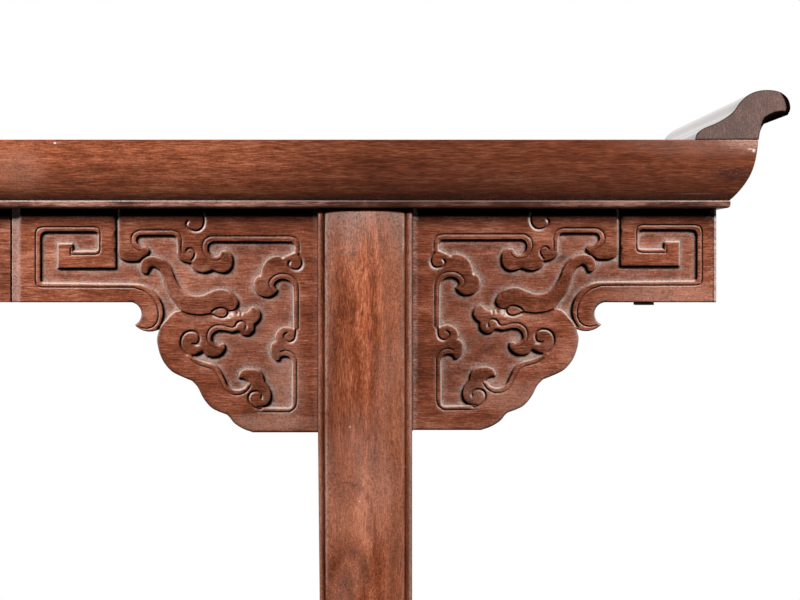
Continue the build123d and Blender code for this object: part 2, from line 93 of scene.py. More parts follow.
def clouds(tree, place, scale, detail=2.0, roughness=0.5):
    """Random clouds over a place stretched by a scale, as a colour and as a grey value."""
    stretched = mapped(tree, place, Scale=scale)
    inputs = {"Vector": stretched, "Scale": 1.0, "Detail": detail, "Roughness": roughness}
    made = wire(tree, "ShaderNodeTexNoise", inputs)
    return made.outputs["Color"], made.outputs[0]


def ranged(tree, value, low, high, to_low=0.0, to_high=1.0):
    """A grey value spread from one range to another, held at its ends."""
    inputs = {"Value": value, "From Min": low, "From Max": high, "To Min": to_low, "To Max": to_high}
    return wire(tree, "ShaderNodeMapRange", inputs).outputs[0]


def blend_colour(tree, share, first, second):
    """Two colours mixed by a grey share."""
    return wire(tree, "ShaderNodeMix", {0: share, 6: first, 7: second}, data_type="RGBA").outputs[2]


# Turns that bring each direction of grain onto X, where the figure is laid out
GRAIN_TURN = {"X": (0, 0, 0), "Y": (0, 0, -math.pi / 2), "Z": (0, math.pi / 2, 0)}
SWAY_SCALE = (9.0, 26.0, 26.0)
END_LINE_SCALE = (20.0, 700.0, 150.0)
FIBRE_DEPTH = 0.0002
# Marks on worked pieces and their colours: dust with painted light, grime with painted shade, and wear with
# painted highlight
MARKS = ("dust_and_light", "grime_and_shade", "wear_and_highlight")
DUST_AND_LIGHT_TONE = tone(176, 154, 144)
GRIME_AND_SHADE_TONE = tone(12, 6, 5)
WORN_AND_HIGHLIGHT_TONE = tone(238, 216, 204)


def rosewood(
    name, grain, body, light, pith, shine=0.42, streak=1.0, mottle=1.0, ring_share=0.6, carved=False,
    tilt=(0, 0, 0), sway=0.004, films=(), blots=(), knots=(), end_lines=0.0, tooth=0.5, lustre=0.1,
):
    """Old oiled rosewood: growth rings about a pith, streaks, fibres and pores drawn out along the grain.
    Each film is a haze of colour along one axis, most often painted shade: (colour, axis, where it starts,
    where it is full, share).
    Each blot is a mark: (middle, radii, colour, share).
    Each knot bends the rings round itself: (middle, radii, lift)."""
    material = bpy.data.materials.new(name)
    material.use_nodes = True
    tree = material.node_tree
    shader = tree.nodes["Principled BSDF"]
    place = wire(tree, "ShaderNodeTexCoord").outputs["Object"]
    board = mapped(tree, mapped(tree, place, Rotation=GRAIN_TURN[grain]), Location=pith, Rotation=tilt)
    bend = vector_math(tree, "SUBTRACT", clouds(tree, board, SWAY_SCALE)[0], (0.5, 0.5, 0.5))
    bend = vector_math(tree, "MULTIPLY", bend, (0.0, 2 * sway, 2 * sway))
    swayed = vector_math(tree, "ADD", board, bend)

    def reach_from(middle, radii):
        offset = vector_math(tree, "SUBTRACT", place, middle)
        return vector_math(tree, "LENGTH", vector_math(tree, "DIVIDE", offset, radii))

    for middle, radii, lift in knots:
        near = grey_math(tree, "POWER", reach_from(middle, radii), 2.0)
        swell = grey_math(tree, "POWER", math.exp(-1), near)
        lifted = wire(tree, "ShaderNodeVectorMath", {0: (0.0, lift, 0.0), "Scale": swell}, operation="SCALE")
        swayed = vector_math(tree, "ADD", swayed, lifted.outputs[0])

    def cloudy(along, across, detail=2.0, roughness=0.6):
        return clouds(tree, swayed, (along, across, across), detail, roughness)[1]

    rings = wire(
        tree,
        "ShaderNodeTexWave",
        {
            "Vector": swayed, "Scale": 21.0, "Distortion": 3.2,
            "Detail": 4.0, "Detail Scale": 0.9, "Detail Roughness": 0.6,
        },
        wave_type="RINGS",
        rings_direction="X",
        wave_profile="TRI",
    ).outputs["Fac"]
    speck = cloudy(420.0, 520.0, 3.0, 0.75)
    hair = cloudy(65.0, 780.0, 3.0, 0.7)
    parts = [
        (cloudy(5.0, 15.0, 4.0), 0.8 * mottle),  # broad clouds
        (cloudy(34.0, 60.0, 3.0), 0.6 * mottle),  # small blotches
        (cloudy(4.0, 85.0, 4.0), 0.48 * streak),  # wide streaks
        (cloudy(26.0, 380.0, 3.0), 0.5 * streak),  # narrow streaks
        (hair, 0.7 * streak),
        (cloudy(60.0, 1300.0, 1.0), 0.75),  # fibres
        (speck, 0.65),
        (rings, -0.14 * ring_share),
    ]
    if end_lines:
        parts.append((clouds(tree, board, END_LINE_SCALE)[1], end_lines))
    value = 0.5 - 0.5 * sum(share for _, share in parts)
    for part, share in parts:
        added = wire(tree, "ShaderNodeMath", {0: part, 1: share, 2: value}, operation="MULTIPLY_ADD")
        value = added.outputs[0]
    ramp = wire(tree, "ShaderNodeValToRGB", {"Fac": value})
    stops = (
        (0.0, deeper(body, 0.16)),
        (0.3, deeper(body, 0.5)),
        (0.52, body),
        (0.72, light),
        (1.0, deeper(light, 1.7)),
    )
    while len(ramp.color_ramp.elements) < len(stops):
        ramp.color_ramp.elements.new(0.5)
    for stop, (where, stop_colour) in zip(ramp.color_ramp.elements, stops):
        stop.position, stop.color = where, stop_colour
    pores = ranged(tree, cloudy(95.0, 1000.0, 0.0), 0.6, 0.7)
    pore_share = grey_math(tree, "MULTIPLY", pores, 0.5)
    colour = blend_colour(tree, pore_share, ramp.outputs["Color"], deeper(body, 0.25))
    roughness = ranged(tree, hair, 0.25, 0.75, shine + 0.1, shine - 0.04)
    patchy = ranged(tree, speck, 0.36, 0.62, 0.4, 1.0)
    gloss = lustre
    if films:
        axes = wire(tree, "ShaderNodeSeparateXYZ", {0: place})
    for film_colour, axis, start, full, share in films:
        span = grey_math(tree, "ABSOLUTE", axes.outputs[axis], 0.0)
        film = ranged(tree, span, start, full, 0.0, share)
        if share < 1:
            film = grey_math(tree, "MULTIPLY", film, patchy)
        else:
            gloss = grey_math(tree, "MULTIPLY", grey_math(tree, "SUBTRACT", 1.0, film), gloss)
        colour = blend_colour(tree, film, colour, film_colour)
    for middle, radii, blot_colour, share in blots:
        ragged = grey_math(tree, "ADD", reach_from(middle, radii), ranged(tree, hair, 0.3, 0.7, -0.22, 0.22))
        blot = ranged(tree, ragged, 1.3, 0.55, 0.0, share)
        colour = blend_colour(tree, grey_math(tree, "MULTIPLY", blot, patchy), colour, blot_colour)
    # Worked pieces carry three marks: dust with painted light, wear with painted highlight, and grime with
    # painted shade that also dulls the gloss
    if carved:
        dust_light_share, grime_shade_share, wear_highlight_share = (
            wire(tree, "ShaderNodeAttribute", attribute_name=mark).outputs["Fac"] for mark in MARKS
        )
        dust_light_share = grey_math(tree, "MULTIPLY", dust_light_share, ranged(tree, speck, 0.36, 0.6, 0.3, 1.05), clamp=True)
        wear_highlight_share = grey_math(tree, "MULTIPLY", wear_highlight_share, ranged(tree, speck, 0.32, 0.58, 0.4, 1.0), clamp=True)
        colour = blend_colour(tree, dust_light_share, colour, DUST_AND_LIGHT_TONE)
        colour = blend_colour(tree, wear_highlight_share, colour, WORN_AND_HIGHLIGHT_TONE)
        colour = blend_colour(tree, grime_shade_share, colour, GRIME_AND_SHADE_TONE)
        gloss = grey_math(tree, "MULTIPLY", grey_math(tree, "SUBTRACT", 1.0, grime_shade_share), gloss)
        roughness = grey_math(tree, "ADD", roughness, grey_math(tree, "MULTIPLY", dust_light_share, 0.3))
    relief = grey_math(tree, "SUBTRACT", grey_math(tree, "MULTIPLY", value, 0.6), pores)
    bump = wire(tree, "ShaderNodeBump", {"Strength": tooth, "Distance": FIBRE_DEPTH, "Height": relief})
    surface = {
        "Base Color": colour, "Roughness": roughness, "Specular IOR Level": gloss, "Normal": bump.outputs[0],
    }
    for socket, given in surface.items():
        plug(tree, shader.inputs[socket], given)
    return material


def give_finish(node_name, material):
    """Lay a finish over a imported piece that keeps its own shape."""
    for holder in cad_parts[node_name].material_slots:
        holder.link = "OBJECT"
        holder.material = material


FOOT_BODY = tone(128, 76, 56)
FOOT_LIGHT = tone(156, 98, 74)
give_finish("right_foot", rosewood("right_foot_wood", "Y", FOOT_BODY, FOOT_LIGHT, (0.3, -0.82, -0.1)))
give_finish("left_foot", rosewood("left_foot_wood", "Y", FOOT_BODY, FOOT_LIGHT, (0.7, 0.95, -0.12)))

# Legs --------------------------------------------------------------------------------------------
# Four thick planks stand on edge, each slotted from the top for its carved board.  The outer face
# swells a little between two grooves, and a round bead runs down each edge outside them.  Worked
# shapes are given in mm from here on, and places in a finish in metres.
LEG_AXIS_X = 881.0
LEG_HALF_WIDTH = 51.0
LEG_FACE_Y = 220.0
LEG_REAR_Y = 160.0
LEG_FOOT_Z = 62.0
LEG_HEAD_Z = 848.0
LEG_TAPER = 5.7
SLOT_FOOT_Z = 606.0
SLOT_OUTER_Y = 206.0
SLOT_INNER_Y = 192.0
GROOVES = ((-45.0, -43.2), (42.7, 44.3))
BEAD_FALL = 2.5
GROOVE_DEPTH = 3.6
GROOVE_FLOOR_RISE = 1.1
FIELD_EDGE = 1.9
FIELD_CROWN = 0.7
FIELD_ARRIS = 0.8
LEG_FINE_FROM_Z = 820.0
LEG_ROW = 4.0
LEG_FINE_ROW = 1.0
# Low and high corners of the four tenons at a leg's head and the one at its foot
LEG_TENONS = (
    ((844, -217, 847.8), (874, -209, 888)),
    ((888, -217, 847.8), (918, -209, 888)),
    ((844, -184, 847.8), (874, -168, 888)),
    ((888, -184, 847.8), (918, -168, 888)),
    ((854, -205, 27), (914, -175, 62.2)),
)


def soft_step(value):
    """Nought below nought, one above one, and smooth between."""
    value = np.clip(value, 0, 1)
    return value * value * (3 - 2 * value)


def bell(value, width):
    """One at nought, falling away smoothly on either side over a width."""
    return np.exp(-((value / width) ** 2))


def uneven(places, across, along, layer):
    """Slow waves over places on a face, between about -0.5 and 0.5."""
    return np.array([noise.noise((x * across, z * along, layer)) for x, z in places])


def leg_face():
    """A leg's outer face as rows of places across it, heights, depths and shares of the three marks."""
    heights = np.concatenate([
        np.arange(LEG_FOOT_Z, SLOT_FOOT_Z, LEG_ROW),
        np.arange(SLOT_FOOT_Z, LEG_FINE_FROM_Z, LEG_ROW),
        np.arange(LEG_FINE_FROM_Z, LEG_HEAD_Z, LEG_FINE_ROW),
        [LEG_HEAD_Z],
    ])
    field_edge = np.array([0, 0.012, 0.024, 0.04, 0.06])
    field = np.concatenate([field_edge, np.linspace(0.085, 0.915, 30), 1 - field_edge[::-1]])
    bead, groove = np.linspace(0, 1, 9), np.linspace(0, 1, 6)
    across = np.concatenate([bead, 1 + groove[1:], 2 + field[1:], 3 + groove[1:], 4 + bead[1:]])
    run, height = np.meshgrid(across, heights)
    taper = LEG_TAPER * np.clip((SLOT_FOOT_Z - height) / (SLOT_FOOT_Z - LEG_FOOT_Z), 0, 1)
    limits = [
        taper - LEG_HALF_WIDTH,
        0.35 * taper + GROOVES[0][0],
        0.35 * taper + GROOVES[0][1],
        np.full_like(taper, GROOVES[1][0]),
        np.full_like(taper, GROOVES[1][1]),
        np.full_like(taper, LEG_HALF_WIDTH),
    ]
    part = np.clip(run.astype(int), 0, 4)
    share = run - part
    low, high = np.choose(part, limits[:-1]), np.choose(part, limits[1:])
    place = low + share * (high - low)
    crown = np.where(part == 0, 2 * share - 1, np.where(part == 4, 1 - 2 * share, 0.0))
    is_bead, is_groove, is_field = (part == 0) | (part == 4), (part == 1) | (part == 3), part == 2
    on_left = place < 0
    from_edge = np.minimum(place - limits[2], limits[3] - place)
    bulge = np.abs(place) / GROOVES[1][0]
    depth = np.where(is_bead, BEAD_FALL * np.abs(crown) ** 2.6, 0.0)
    depth = np.where(is_groove, GROOVE_DEPTH - GROOVE_FLOOR_RISE * np.abs(2 * share - 1) ** 3, depth)
    swell = FIELD_CROWN + (FIELD_EDGE - FIELD_CROWN) * bulge**5
    depth = np.where(is_field, swell + FIELD_ARRIS * (1 - soft_step(from_edge / 1.6)), depth)
    spots = list(zip(place.flat, height.flat))
    wave = uneven(spots, 0.03, 0.011, 2.2).reshape(place.shape)
    fine = uneven(spots, 0.2, 0.07, 5.2).reshape(place.shape)
    depth = depth + 0.25 * wave * is_field + 0.12 * fine

    # Grime and painted shade lie in the grooves, dust and painted light beside them, and the field's edges
    # are rubbed
    top = LEG_HEAD_Z - height
    # The strip's painted shadow over the top of the leg
    shadow = soft_step((3.4 + 2.4 * np.clip(bulge, 0, 1) ** 3 + 1.2 * is_groove - top) / 1.4 + 0.5)
    gap_top = np.exp(-np.clip(top - 4, 0, 99) / 8)
    valley = bell(share - 0.42, 0.24 + 0.5 * gap_top)
    grime_and_shade = np.where(is_groove, np.where(part == 1, 0.92, 0.86) * valley, 0.0)
    # Painted shade on each bead's inner slope and at the field's edges, deepest near the top
    grime_and_shade = np.where(is_bead, (0.12 + 0.75 * gap_top) * soft_step((crown - 0.3) / 0.7), grime_and_shade)
    grime_and_shade = np.where(is_field, np.where(on_left, 0.9 * gap_top, 0.25) * bell(from_edge, 1.0), grime_and_shade)
    # Dust and painted highlight on each bead's outer slope, more on the bead towards the table's end
    bead_light = np.where(part == 4, 0.75, 0.35) + 0.4 * gap_top
    dust_and_light = np.where(is_bead, bead_light * bell(crown + 0.45, 0.42), 0.0)
    high_part = 0.25 + 0.75 * soft_step((height - 560) / 220)
    # Dust and painted light along the field's margins, more on the side towards the table's middle
    margin = np.where(on_left, 0.5 * np.exp(-from_edge / 4.5), 0.3 * np.exp(-from_edge / 3.0)) * high_part
    haze = 0.5 * np.exp(-np.clip(top - 5, 0, 999) / 24) + 0.4 * np.clip(wave - 0.05, 0, 1)
    dust_and_light = np.where(is_field, margin + haze, dust_and_light)
    line_share = np.where(on_left, 0.3, 0.25 + 0.5 * soft_step((height - 760) / 50))
    rubbed_line = bell(from_edge - 1.3, 0.7) * line_share
    wear_and_highlight = np.where(is_field, rubbed_line * np.clip(0.55 + 1.6 * fine, 0, 1), 0.0)
    shares = (dust_and_light * (1 - shadow), np.maximum(grime_and_shade, shadow), wear_and_highlight * (1 - shadow))
    return place, height, depth, [np.clip(layer, 0, 1) for layer in shares]


def square_block(mesh, low, high):
    """A tenon or other square block between two corners given in mm."""
    size = Vector([(b - a) / 1000 for a, b in zip(low, high)])
    middle = Vector([(a + b) / 2000 for a, b in zip(low, high)])
    bmesh.ops.create_cube(mesh, size=1.0, matrix=Matrix.LocRotScale(middle, None, size))


def set_in_place(mesh, corner, hard_angle, worked_stays=True):
    """Mirror a piece to its corner of the table, face it outwards and keep its hard edges."""
    bmesh.ops.scale(mesh, vec=corner, verts=mesh.verts)
    bmesh.ops.recalc_face_normals(mesh, faces=mesh.faces)
    for edge in mesh.edges:
        faces = edge.link_faces
        is_hard = len(faces) == 2 and edge.calc_face_angle(0) > math.radians(hard_angle)
        if is_hard and not (worked_stays and all(face.smooth for face in faces)):
            edge.smooth = False


def made_piece(name, mesh, material):
    """The finished mesh as an object in the scene."""
    data = bpy.data.meshes.new(name)
    mesh.to_mesh(data)
    mesh.free()
    data.materials.append(material)
    piece = bpy.data.objects.new(name, data)
    bpy.context.scene.collection.objects.link(piece)
    return piece


def leg_plank(name, side_x, side_y, face, material):
    """One leg: its worked outer face, plain sides and back, the open slot, and tenons at head and foot."""
    place, height, depth, shares = face
    mesh = bmesh.new()
    layers = [mesh.verts.layers.float.new(mark) for mark in MARKS]
    rows, columns = place.shape
    made = bmesh.ops.create_grid(mesh, x_segments=columns - 1, y_segments=rows - 1, size=1.0)["verts"]
    sheets = (place, depth, height, *shares)
    for vert, x, deep, z, *marks in zip(made, *(sheet.flat for sheet in sheets)):
        vert.co = [c / 1000 for c in (LEG_AXIS_X + x, deep - LEG_FACE_Y, z)]
        for layer, mark in zip(layers, marks):
            vert[layer] = mark
    for patch in mesh.faces:
        patch.smooth = True
    grid = [made[start : start + columns] for start in range(0, rows * columns, columns)]
    seat = int(np.argmin(np.abs(height[:, 0] - SLOT_FOOT_Z)))
    rings = {}
    for i in (0, seat, rows - 1):
        left, right = place[i, 0], place[i, -1]
        plan = [
            (right, SLOT_OUTER_Y), (right, SLOT_INNER_Y),
            (right, LEG_REAR_Y + 2.0), (right - 0.6, LEG_REAR_Y + 0.6), (right - 2.0, LEG_REAR_Y),
            (left + 2.0, LEG_REAR_Y), (left + 0.6, LEG_REAR_Y + 0.6), (left, LEG_REAR_Y + 2.0),
            (left, SLOT_INNER_Y), (left, SLOT_OUTER_Y),
        ]
        z = height[i, 0] / 1000
        rings[i] = [mesh.verts.new(((LEG_AXIS_X + x) / 1000, -y / 1000, z)) for x, y in plan]
    # Above its foot the slot stays open through both sides
    for start, end in ((0, seat), (seat, rows - 1)):
        low, high = rings[start], rings[end]
        mesh.faces.new([grid[i][-1] for i in range(start, end + 1)] + [high[0], low[0]])
        mesh.faces.new([grid[i][0] for i in range(start, end + 1)] + [high[-1], low[-1]])
        for j in range(9):
            if start == 0 or j not in (0, 8):
                mesh.faces.new((low[j], low[j + 1], high[j + 1], high[j])).smooth = 2 <= j <= 3 or 5 <= j <= 6
    floor, head = rings[seat], rings[rows - 1]
    mesh.faces.new((floor[0], floor[1], floor[8], floor[9]))
    mesh.faces.new((floor[0], floor[9], head[9], head[0]))
    mesh.faces.new((floor[1], floor[8], head[8], head[1]))
    mesh.faces.new(grid[-1] + [head[0], head[9]])
    mesh.faces.new(head[1:9])
    mesh.faces.new(grid[0] + rings[0])
    for low, high in LEG_TENONS:
        square_block(mesh, low, high)
    set_in_place(mesh, (side_x, -side_y, 1), hard_angle=50)
    return made_piece(name, mesh, material)


LEG_BODY = tone(140, 72, 44)
LEG_LIGHT = tone(168, 102, 74)
LEG_TILT = 0.1
# A dark vein that curls round the swirl: places with their reach across and along the leg
LEG_VEIN = [
    (0.8615, 0.5512, 0.006, 0.0013), (0.8705, 0.5485, 0.005, 0.0018), (0.8775, 0.544, 0.004, 0.0034),
    (0.8835, 0.536, 0.0026, 0.006), (0.888, 0.5235, 0.0018, 0.0085), (0.8915, 0.5085, 0.0016, 0.0095),
    (0.8922, 0.4935, 0.0016, 0.0095), (0.8905, 0.4795, 0.0017, 0.0085), (0.887, 0.467, 0.0019, 0.0075),
    (0.8825, 0.4575, 0.0022, 0.005),
]
# Lights and darks on a leg: place and height, reach across and along, colour and share
LEG_MARKS = [
    (0.866, 0.532, 0.05, 0.055, tone(204, 144, 120), 0.34),
    (0.9125, 0.7, 0.015, 0.3, tone(200, 132, 104), 0.34),
    (0.862, 0.622, 0.06, 0.07, tone(92, 42, 26), 0.3),
    (0.87, 0.4, 0.09, 0.075, tone(92, 44, 30), 0.3),
]
LEG_MARKS += [(*vein, tone(86, 38, 24), 0.62) for vein in LEG_VEIN]
LEG_NICKS = [(0.8751, 0.5311), (0.9242, 0.5684), (0.8648, 0.6115)]
leg_shape = leg_face()
for leg_name, side_x, side_y, heart_x, heart_y in (
    ("front_right", 1, -1, 0.859, 0.167),
    ("front_left", -1, -1, -0.871, 0.172),
    ("back_right", 1, 1, 0.874, -0.271),
    ("back_left", -1, 1, -0.862, -0.266),
):
    swirl = ((0.852 * side_x, 0.217 * side_y, 0.497), (0.036, 0.2, 0.062), 0.034)
    marks = [
        ((x * side_x, 0.22 * side_y, z), (across, 0.3, along), colour, share)
        for x, z, across, along, colour, share in LEG_MARKS
    ]
    nicks = [((x * side_x, 0.218 * side_y, z), (0.0009, 0.02, 0.0007), WORN_AND_HIGHLIGHT_TONE, 0.9) for x, z in LEG_NICKS]
    wood = rosewood(
        f"{leg_name}_leg_wood", "Z", LEG_BODY, LEG_LIGHT, (0.0, heart_y, heart_x),
        shine=0.4, streak=0.95, mottle=0.58, ring_share=1.5, carved=True,
        tilt=(0, 0, LEG_TILT), sway=0.009, blots=marks + nicks, knots=(swirl,),
    )
    plank = leg_plank(f"{leg_name}_leg_plank", side_x, side_y, leg_shape, wood)
    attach(plank, "root")
    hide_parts(f"{leg_name}_leg")

# Stretchers and rings ----------------------------------------------------------------------------
# Two rails tenoned between the legs at each end hold four thin mitred strips, which frame an open
# panel with an arched head.
STRETCHER_BODY = tone(134, 78, 56)
STRETCHER_LIGHT = tone(158, 98, 74)
for end_side, side_place in (("right", -0.9), ("left", 0.9)):
    for number, stretcher in enumerate(("lower_stretcher", "upper_stretcher")):
        pith = (number * 0.4, side_place, -0.1 - number)
        wood = rosewood(f"{end_side}_{stretcher}_wood", "Y", STRETCHER_BODY, STRETCHER_LIGHT, pith)
        give_finish(f"{end_side}_{stretcher}", wood)
    for number, (strip, grain) in enumerate(
        (("ring_front", "Z"), ("ring_back", "Z"), ("ring_top", "Y"), ("ring_bottom", "Y"))
    ):
        pith = (number * 0.37, side_place, 0.21 * number)
        wood = rosewood(f"{end_side}_{strip}_wood", grain, STRETCHER_BODY, STRETCHER_LIGHT, pith)
        give_finish(f"{end_side}_{strip}", wood)

# Framed top --------------------------------------------------------------------------------------
# Four wide rails are mitred into a frame round a panel of two boards, which battens carry from
# beneath.  The rails' outer edges fall nearly plumb and then sweep under.
TOP_BODY = tone(154, 83, 55)
TOP_LIGHT = tone(180, 112, 82)
PANEL_BODY = tone(138, 78, 54)
PANEL_LIGHT = tone(158, 96, 70)
BATTEN_BODY = tone(140, 100, 78)
BATTEN_LIGHT = tone(160, 122, 98)
# Near black for painted shade and dark lines
SHADE_BLACK = tone(5, 3, 3)
# Painted shade on the rail's swept-under lower part, and a darker line along its top edge
RAIL_FILMS = ((SHADE_BLACK, "Z", 0.867, 0.8575, 0.96), (SHADE_BLACK, "Z", 0.9182, 0.9198, 0.6))
# Lights, darks and chips on the front rail and its right end, with painted shade over its middle and right
# and painted highlights at the right end: middle, radii, colour and share
RAIL_MARKS = [
    # Painted shade where the light falls off over the middle and right
    ((1.15, -0.25, 0.888), (0.34, 0.3, 0.3), tone(58, 22, 14), 0.66),
    ((1.26, -0.25, 0.926), (0.11, 0.06, 0.022), tone(186, 148, 134), 0.26),
    ((1.30, -0.25, 0.9215), (0.04, 0.06, 0.012), tone(212, 168, 150), 0.5),
    # A painted reflection where the rail's corner catches the light
    ((1.2953, -0.25, 0.9082), (0.0018, 0.05, 0.0019), tone(240, 232, 228), 0.95),
    ((1.2915, -0.25, 0.91), (0.0036, 0.05, 0.0008), tone(236, 214, 204), 0.8),
    ((1.278, -0.244, 0.8838), (0.026, 0.04, 0.008), tone(40, 26, 28), 0.8),
    # A thin painted highlight near the lower edge
    ((1.236, -0.244, 0.8632), (0.02, 0.04, 0.0008), tone(206, 186, 176), 0.22),
    ((0.5515, -0.25, 0.9163), (0.0016, 0.02, 0.0011), tone(240, 232, 228), 0.8),
    ((0.512, -0.25, 0.887), (0.027, 0.04, 0.024), tone(188, 132, 110), 0.4),
    ((0.552, -0.25, 0.877), (0.016, 0.04, 0.011), tone(84, 34, 22), 0.4),
]
for rail, grain, pith in (
    ("front_rail", "X", (0.2, 0.2, -0.8)),
    ("back_rail", "X", (0.9, -0.2, -0.82)),
    ("right_end_rail", "Y", (0.1, 1.2, -0.8)),
    ("left_end_rail", "Y", (0.5, -1.2, -0.8)),
):
    marks = RAIL_MARKS if rail in ("front_rail", "right_end_rail") else ()
    wood = rosewood(
        f"{rail}_wood", grain, TOP_BODY, TOP_LIGHT, pith,
        shine=0.42, streak=0.95, mottle=0.6, ring_share=0.5, films=RAIL_FILMS, blots=marks,
    )
    give_finish(rail, wood)
for panel, pith, slope in (
    ("front_panel", (0.4, 0.09, -0.86), 0.02),
    ("back_panel", (-0.3, -0.06, -0.85), -0.02),
):
    wood = rosewood(
        f"{panel}_wood", "X", PANEL_BODY, PANEL_LIGHT, pith, shine=0.4, ring_share=1.6, tilt=(0, slope, 0)
    )
    give_finish(f"{panel}_board", wood)
for number in range(1, 8):
    pith = (0.3 * number, 0.1, -0.8)
    wood = rosewood(f"batten_{number}_wood", "Y", BATTEN_BODY, BATTEN_LIGHT, pith, shine=0.6)
    give_finish(f"batten_{number}", wood)

# Edge strips and pins ----------------------------------------------------------------------------
# A thin strip runs under the frame on all four sides, mitred at the corners and stopped by bamboo
# pins driven up into the rails.
STRIP_BODY = tone(108, 68, 56)
STRIP_LIGHT = tone(146, 104, 90)
STRIP_MARKS = (((1.0, -0.225, 0.852), (0.22, 0.2, 0.2), tone(58, 24, 16), 0.7),)
# A pale line along the strip's upper edge, painted highlight with dust, and painted shade along its lower
# edge
STRIP_FILMS = ((tone(206, 192, 186), "Z", 0.8546, 0.8553, 0.9), (SHADE_BLACK, "Z", 0.8506, 0.8488, 0.9))
PIN_BODY = tone(170, 138, 96)
PIN_LIGHT = tone(190, 160, 116)
for number, (strip, grain) in enumerate(
    (("front_strip", "X"), ("back_strip", "X"), ("right_end_strip", "Y"), ("left_end_strip", "Y"))
):
    wood = rosewood(
        f"{strip}_wood", grain, STRIP_BODY, STRIP_LIGHT, (0.4 * number, 0.25 * number, -0.83),
        shine=0.45, mottle=2.4, ring_share=0.3, films=STRIP_FILMS, blots=STRIP_MARKS,
    )
    give_finish(strip, wood)
give_finish("strip_pins", rosewood("bamboo_pins", "Z", PIN_BODY, PIN_LIGHT, (0, 0, 0), shine=0.55))

# Plain aprons and glue blocks --------------------------------------------------------------------
# The long centre aprons and the two end aprons are left uncarved.  Small blocks rubbed in behind the
# outer wings hold them to the strips.
APRON_BODY = tone(142, 80, 58)
APRON_LIGHT = tone(170, 112, 92)
# The strip's painted shadow across the top of the aprons, and a dark line at the long aprons' ends beside the
# carved boards
APRON_FILMS = (
    (SHADE_BLACK, "Z", 0.82, 0.8345, 0.85),
    (SHADE_BLACK, "Z", 0.8325, 0.8405, 1.0),
    (SHADE_BLACK, "X", 0.4948, 0.4954, 1.0),
)
BLOCK_BODY = tone(110, 68, 52)
BLOCK_LIGHT = tone(130, 84, 64)
for number, (apron, grain) in enumerate((
    ("front_centre_apron", "X"), ("back_centre_apron", "X"),
    ("right_end_apron", "Y"), ("left_end_apron", "Y"),
)):
    films = APRON_FILMS if grain == "X" else APRON_FILMS[:2]
    wood = rosewood(
        f"{apron}_wood", grain, APRON_BODY, APRON_LIGHT, (0.5 * number, 0.23 * number, -0.8),
        shine=0.45, streak=0.8, mottle=1.2, ring_share=0.5, films=films,
    )
    give_finish(apron, wood)
wood = rosewood("apron_blocks_wood", "Z", BLOCK_BODY, BLOCK_LIGHT, (0.2, 0.3, 0.1), shine=0.55)
give_finish("apron_blocks", wood)

# Carved boards -----------------------------------------------------------------------------------
# One board passes through the slot of each leg and shows as a wing on either side.  Its ground is
# cut back 4 mm, which leaves a square fret, clouds and a dragon standing, with a bead and an incised
# line round most of the ground.
PATTERN_UNIT = 1.0851  # mm on the board for one unit of the carver's pattern
PATTERN_AXIS = 365.1  # where the leg's axis lies on the pattern
PATTERN_HEAD = 1074.1  # height in mm of the pattern's zero line
BOARD_FACE_Y = 212.0
BOARD_BACK_Y = 188.0
BOARD_TOP_Z = 848.0
APRON_LOW_Z = 746.0
BOARD_LOW_Z = 606.0
INNER_REACH = 384.0
OUTER_REACH = 381.0
OUTER_STRETCH = (1.017, 2.0)
OUTER_FALL = 0.982
OUTER_LIFT = 2.2
GROUND_DEPTH = 4.4
WALL_WIDTH = 1.7
BEAD_GROOVE = 1.7
CLOSE_STEP = 0.35
LINE_STEP = 1.0
CURL_STEP = 0.8
RIM_STEP = 1.3
OPEN_STEP = 2.5
POINT_GAP = 0.42
CORNER_REACH = 7.0
LIGHT_WAY = np.array([0.68, 0.73])  # edges and slopes that face outwards and up get painted highlight, the others painted shade
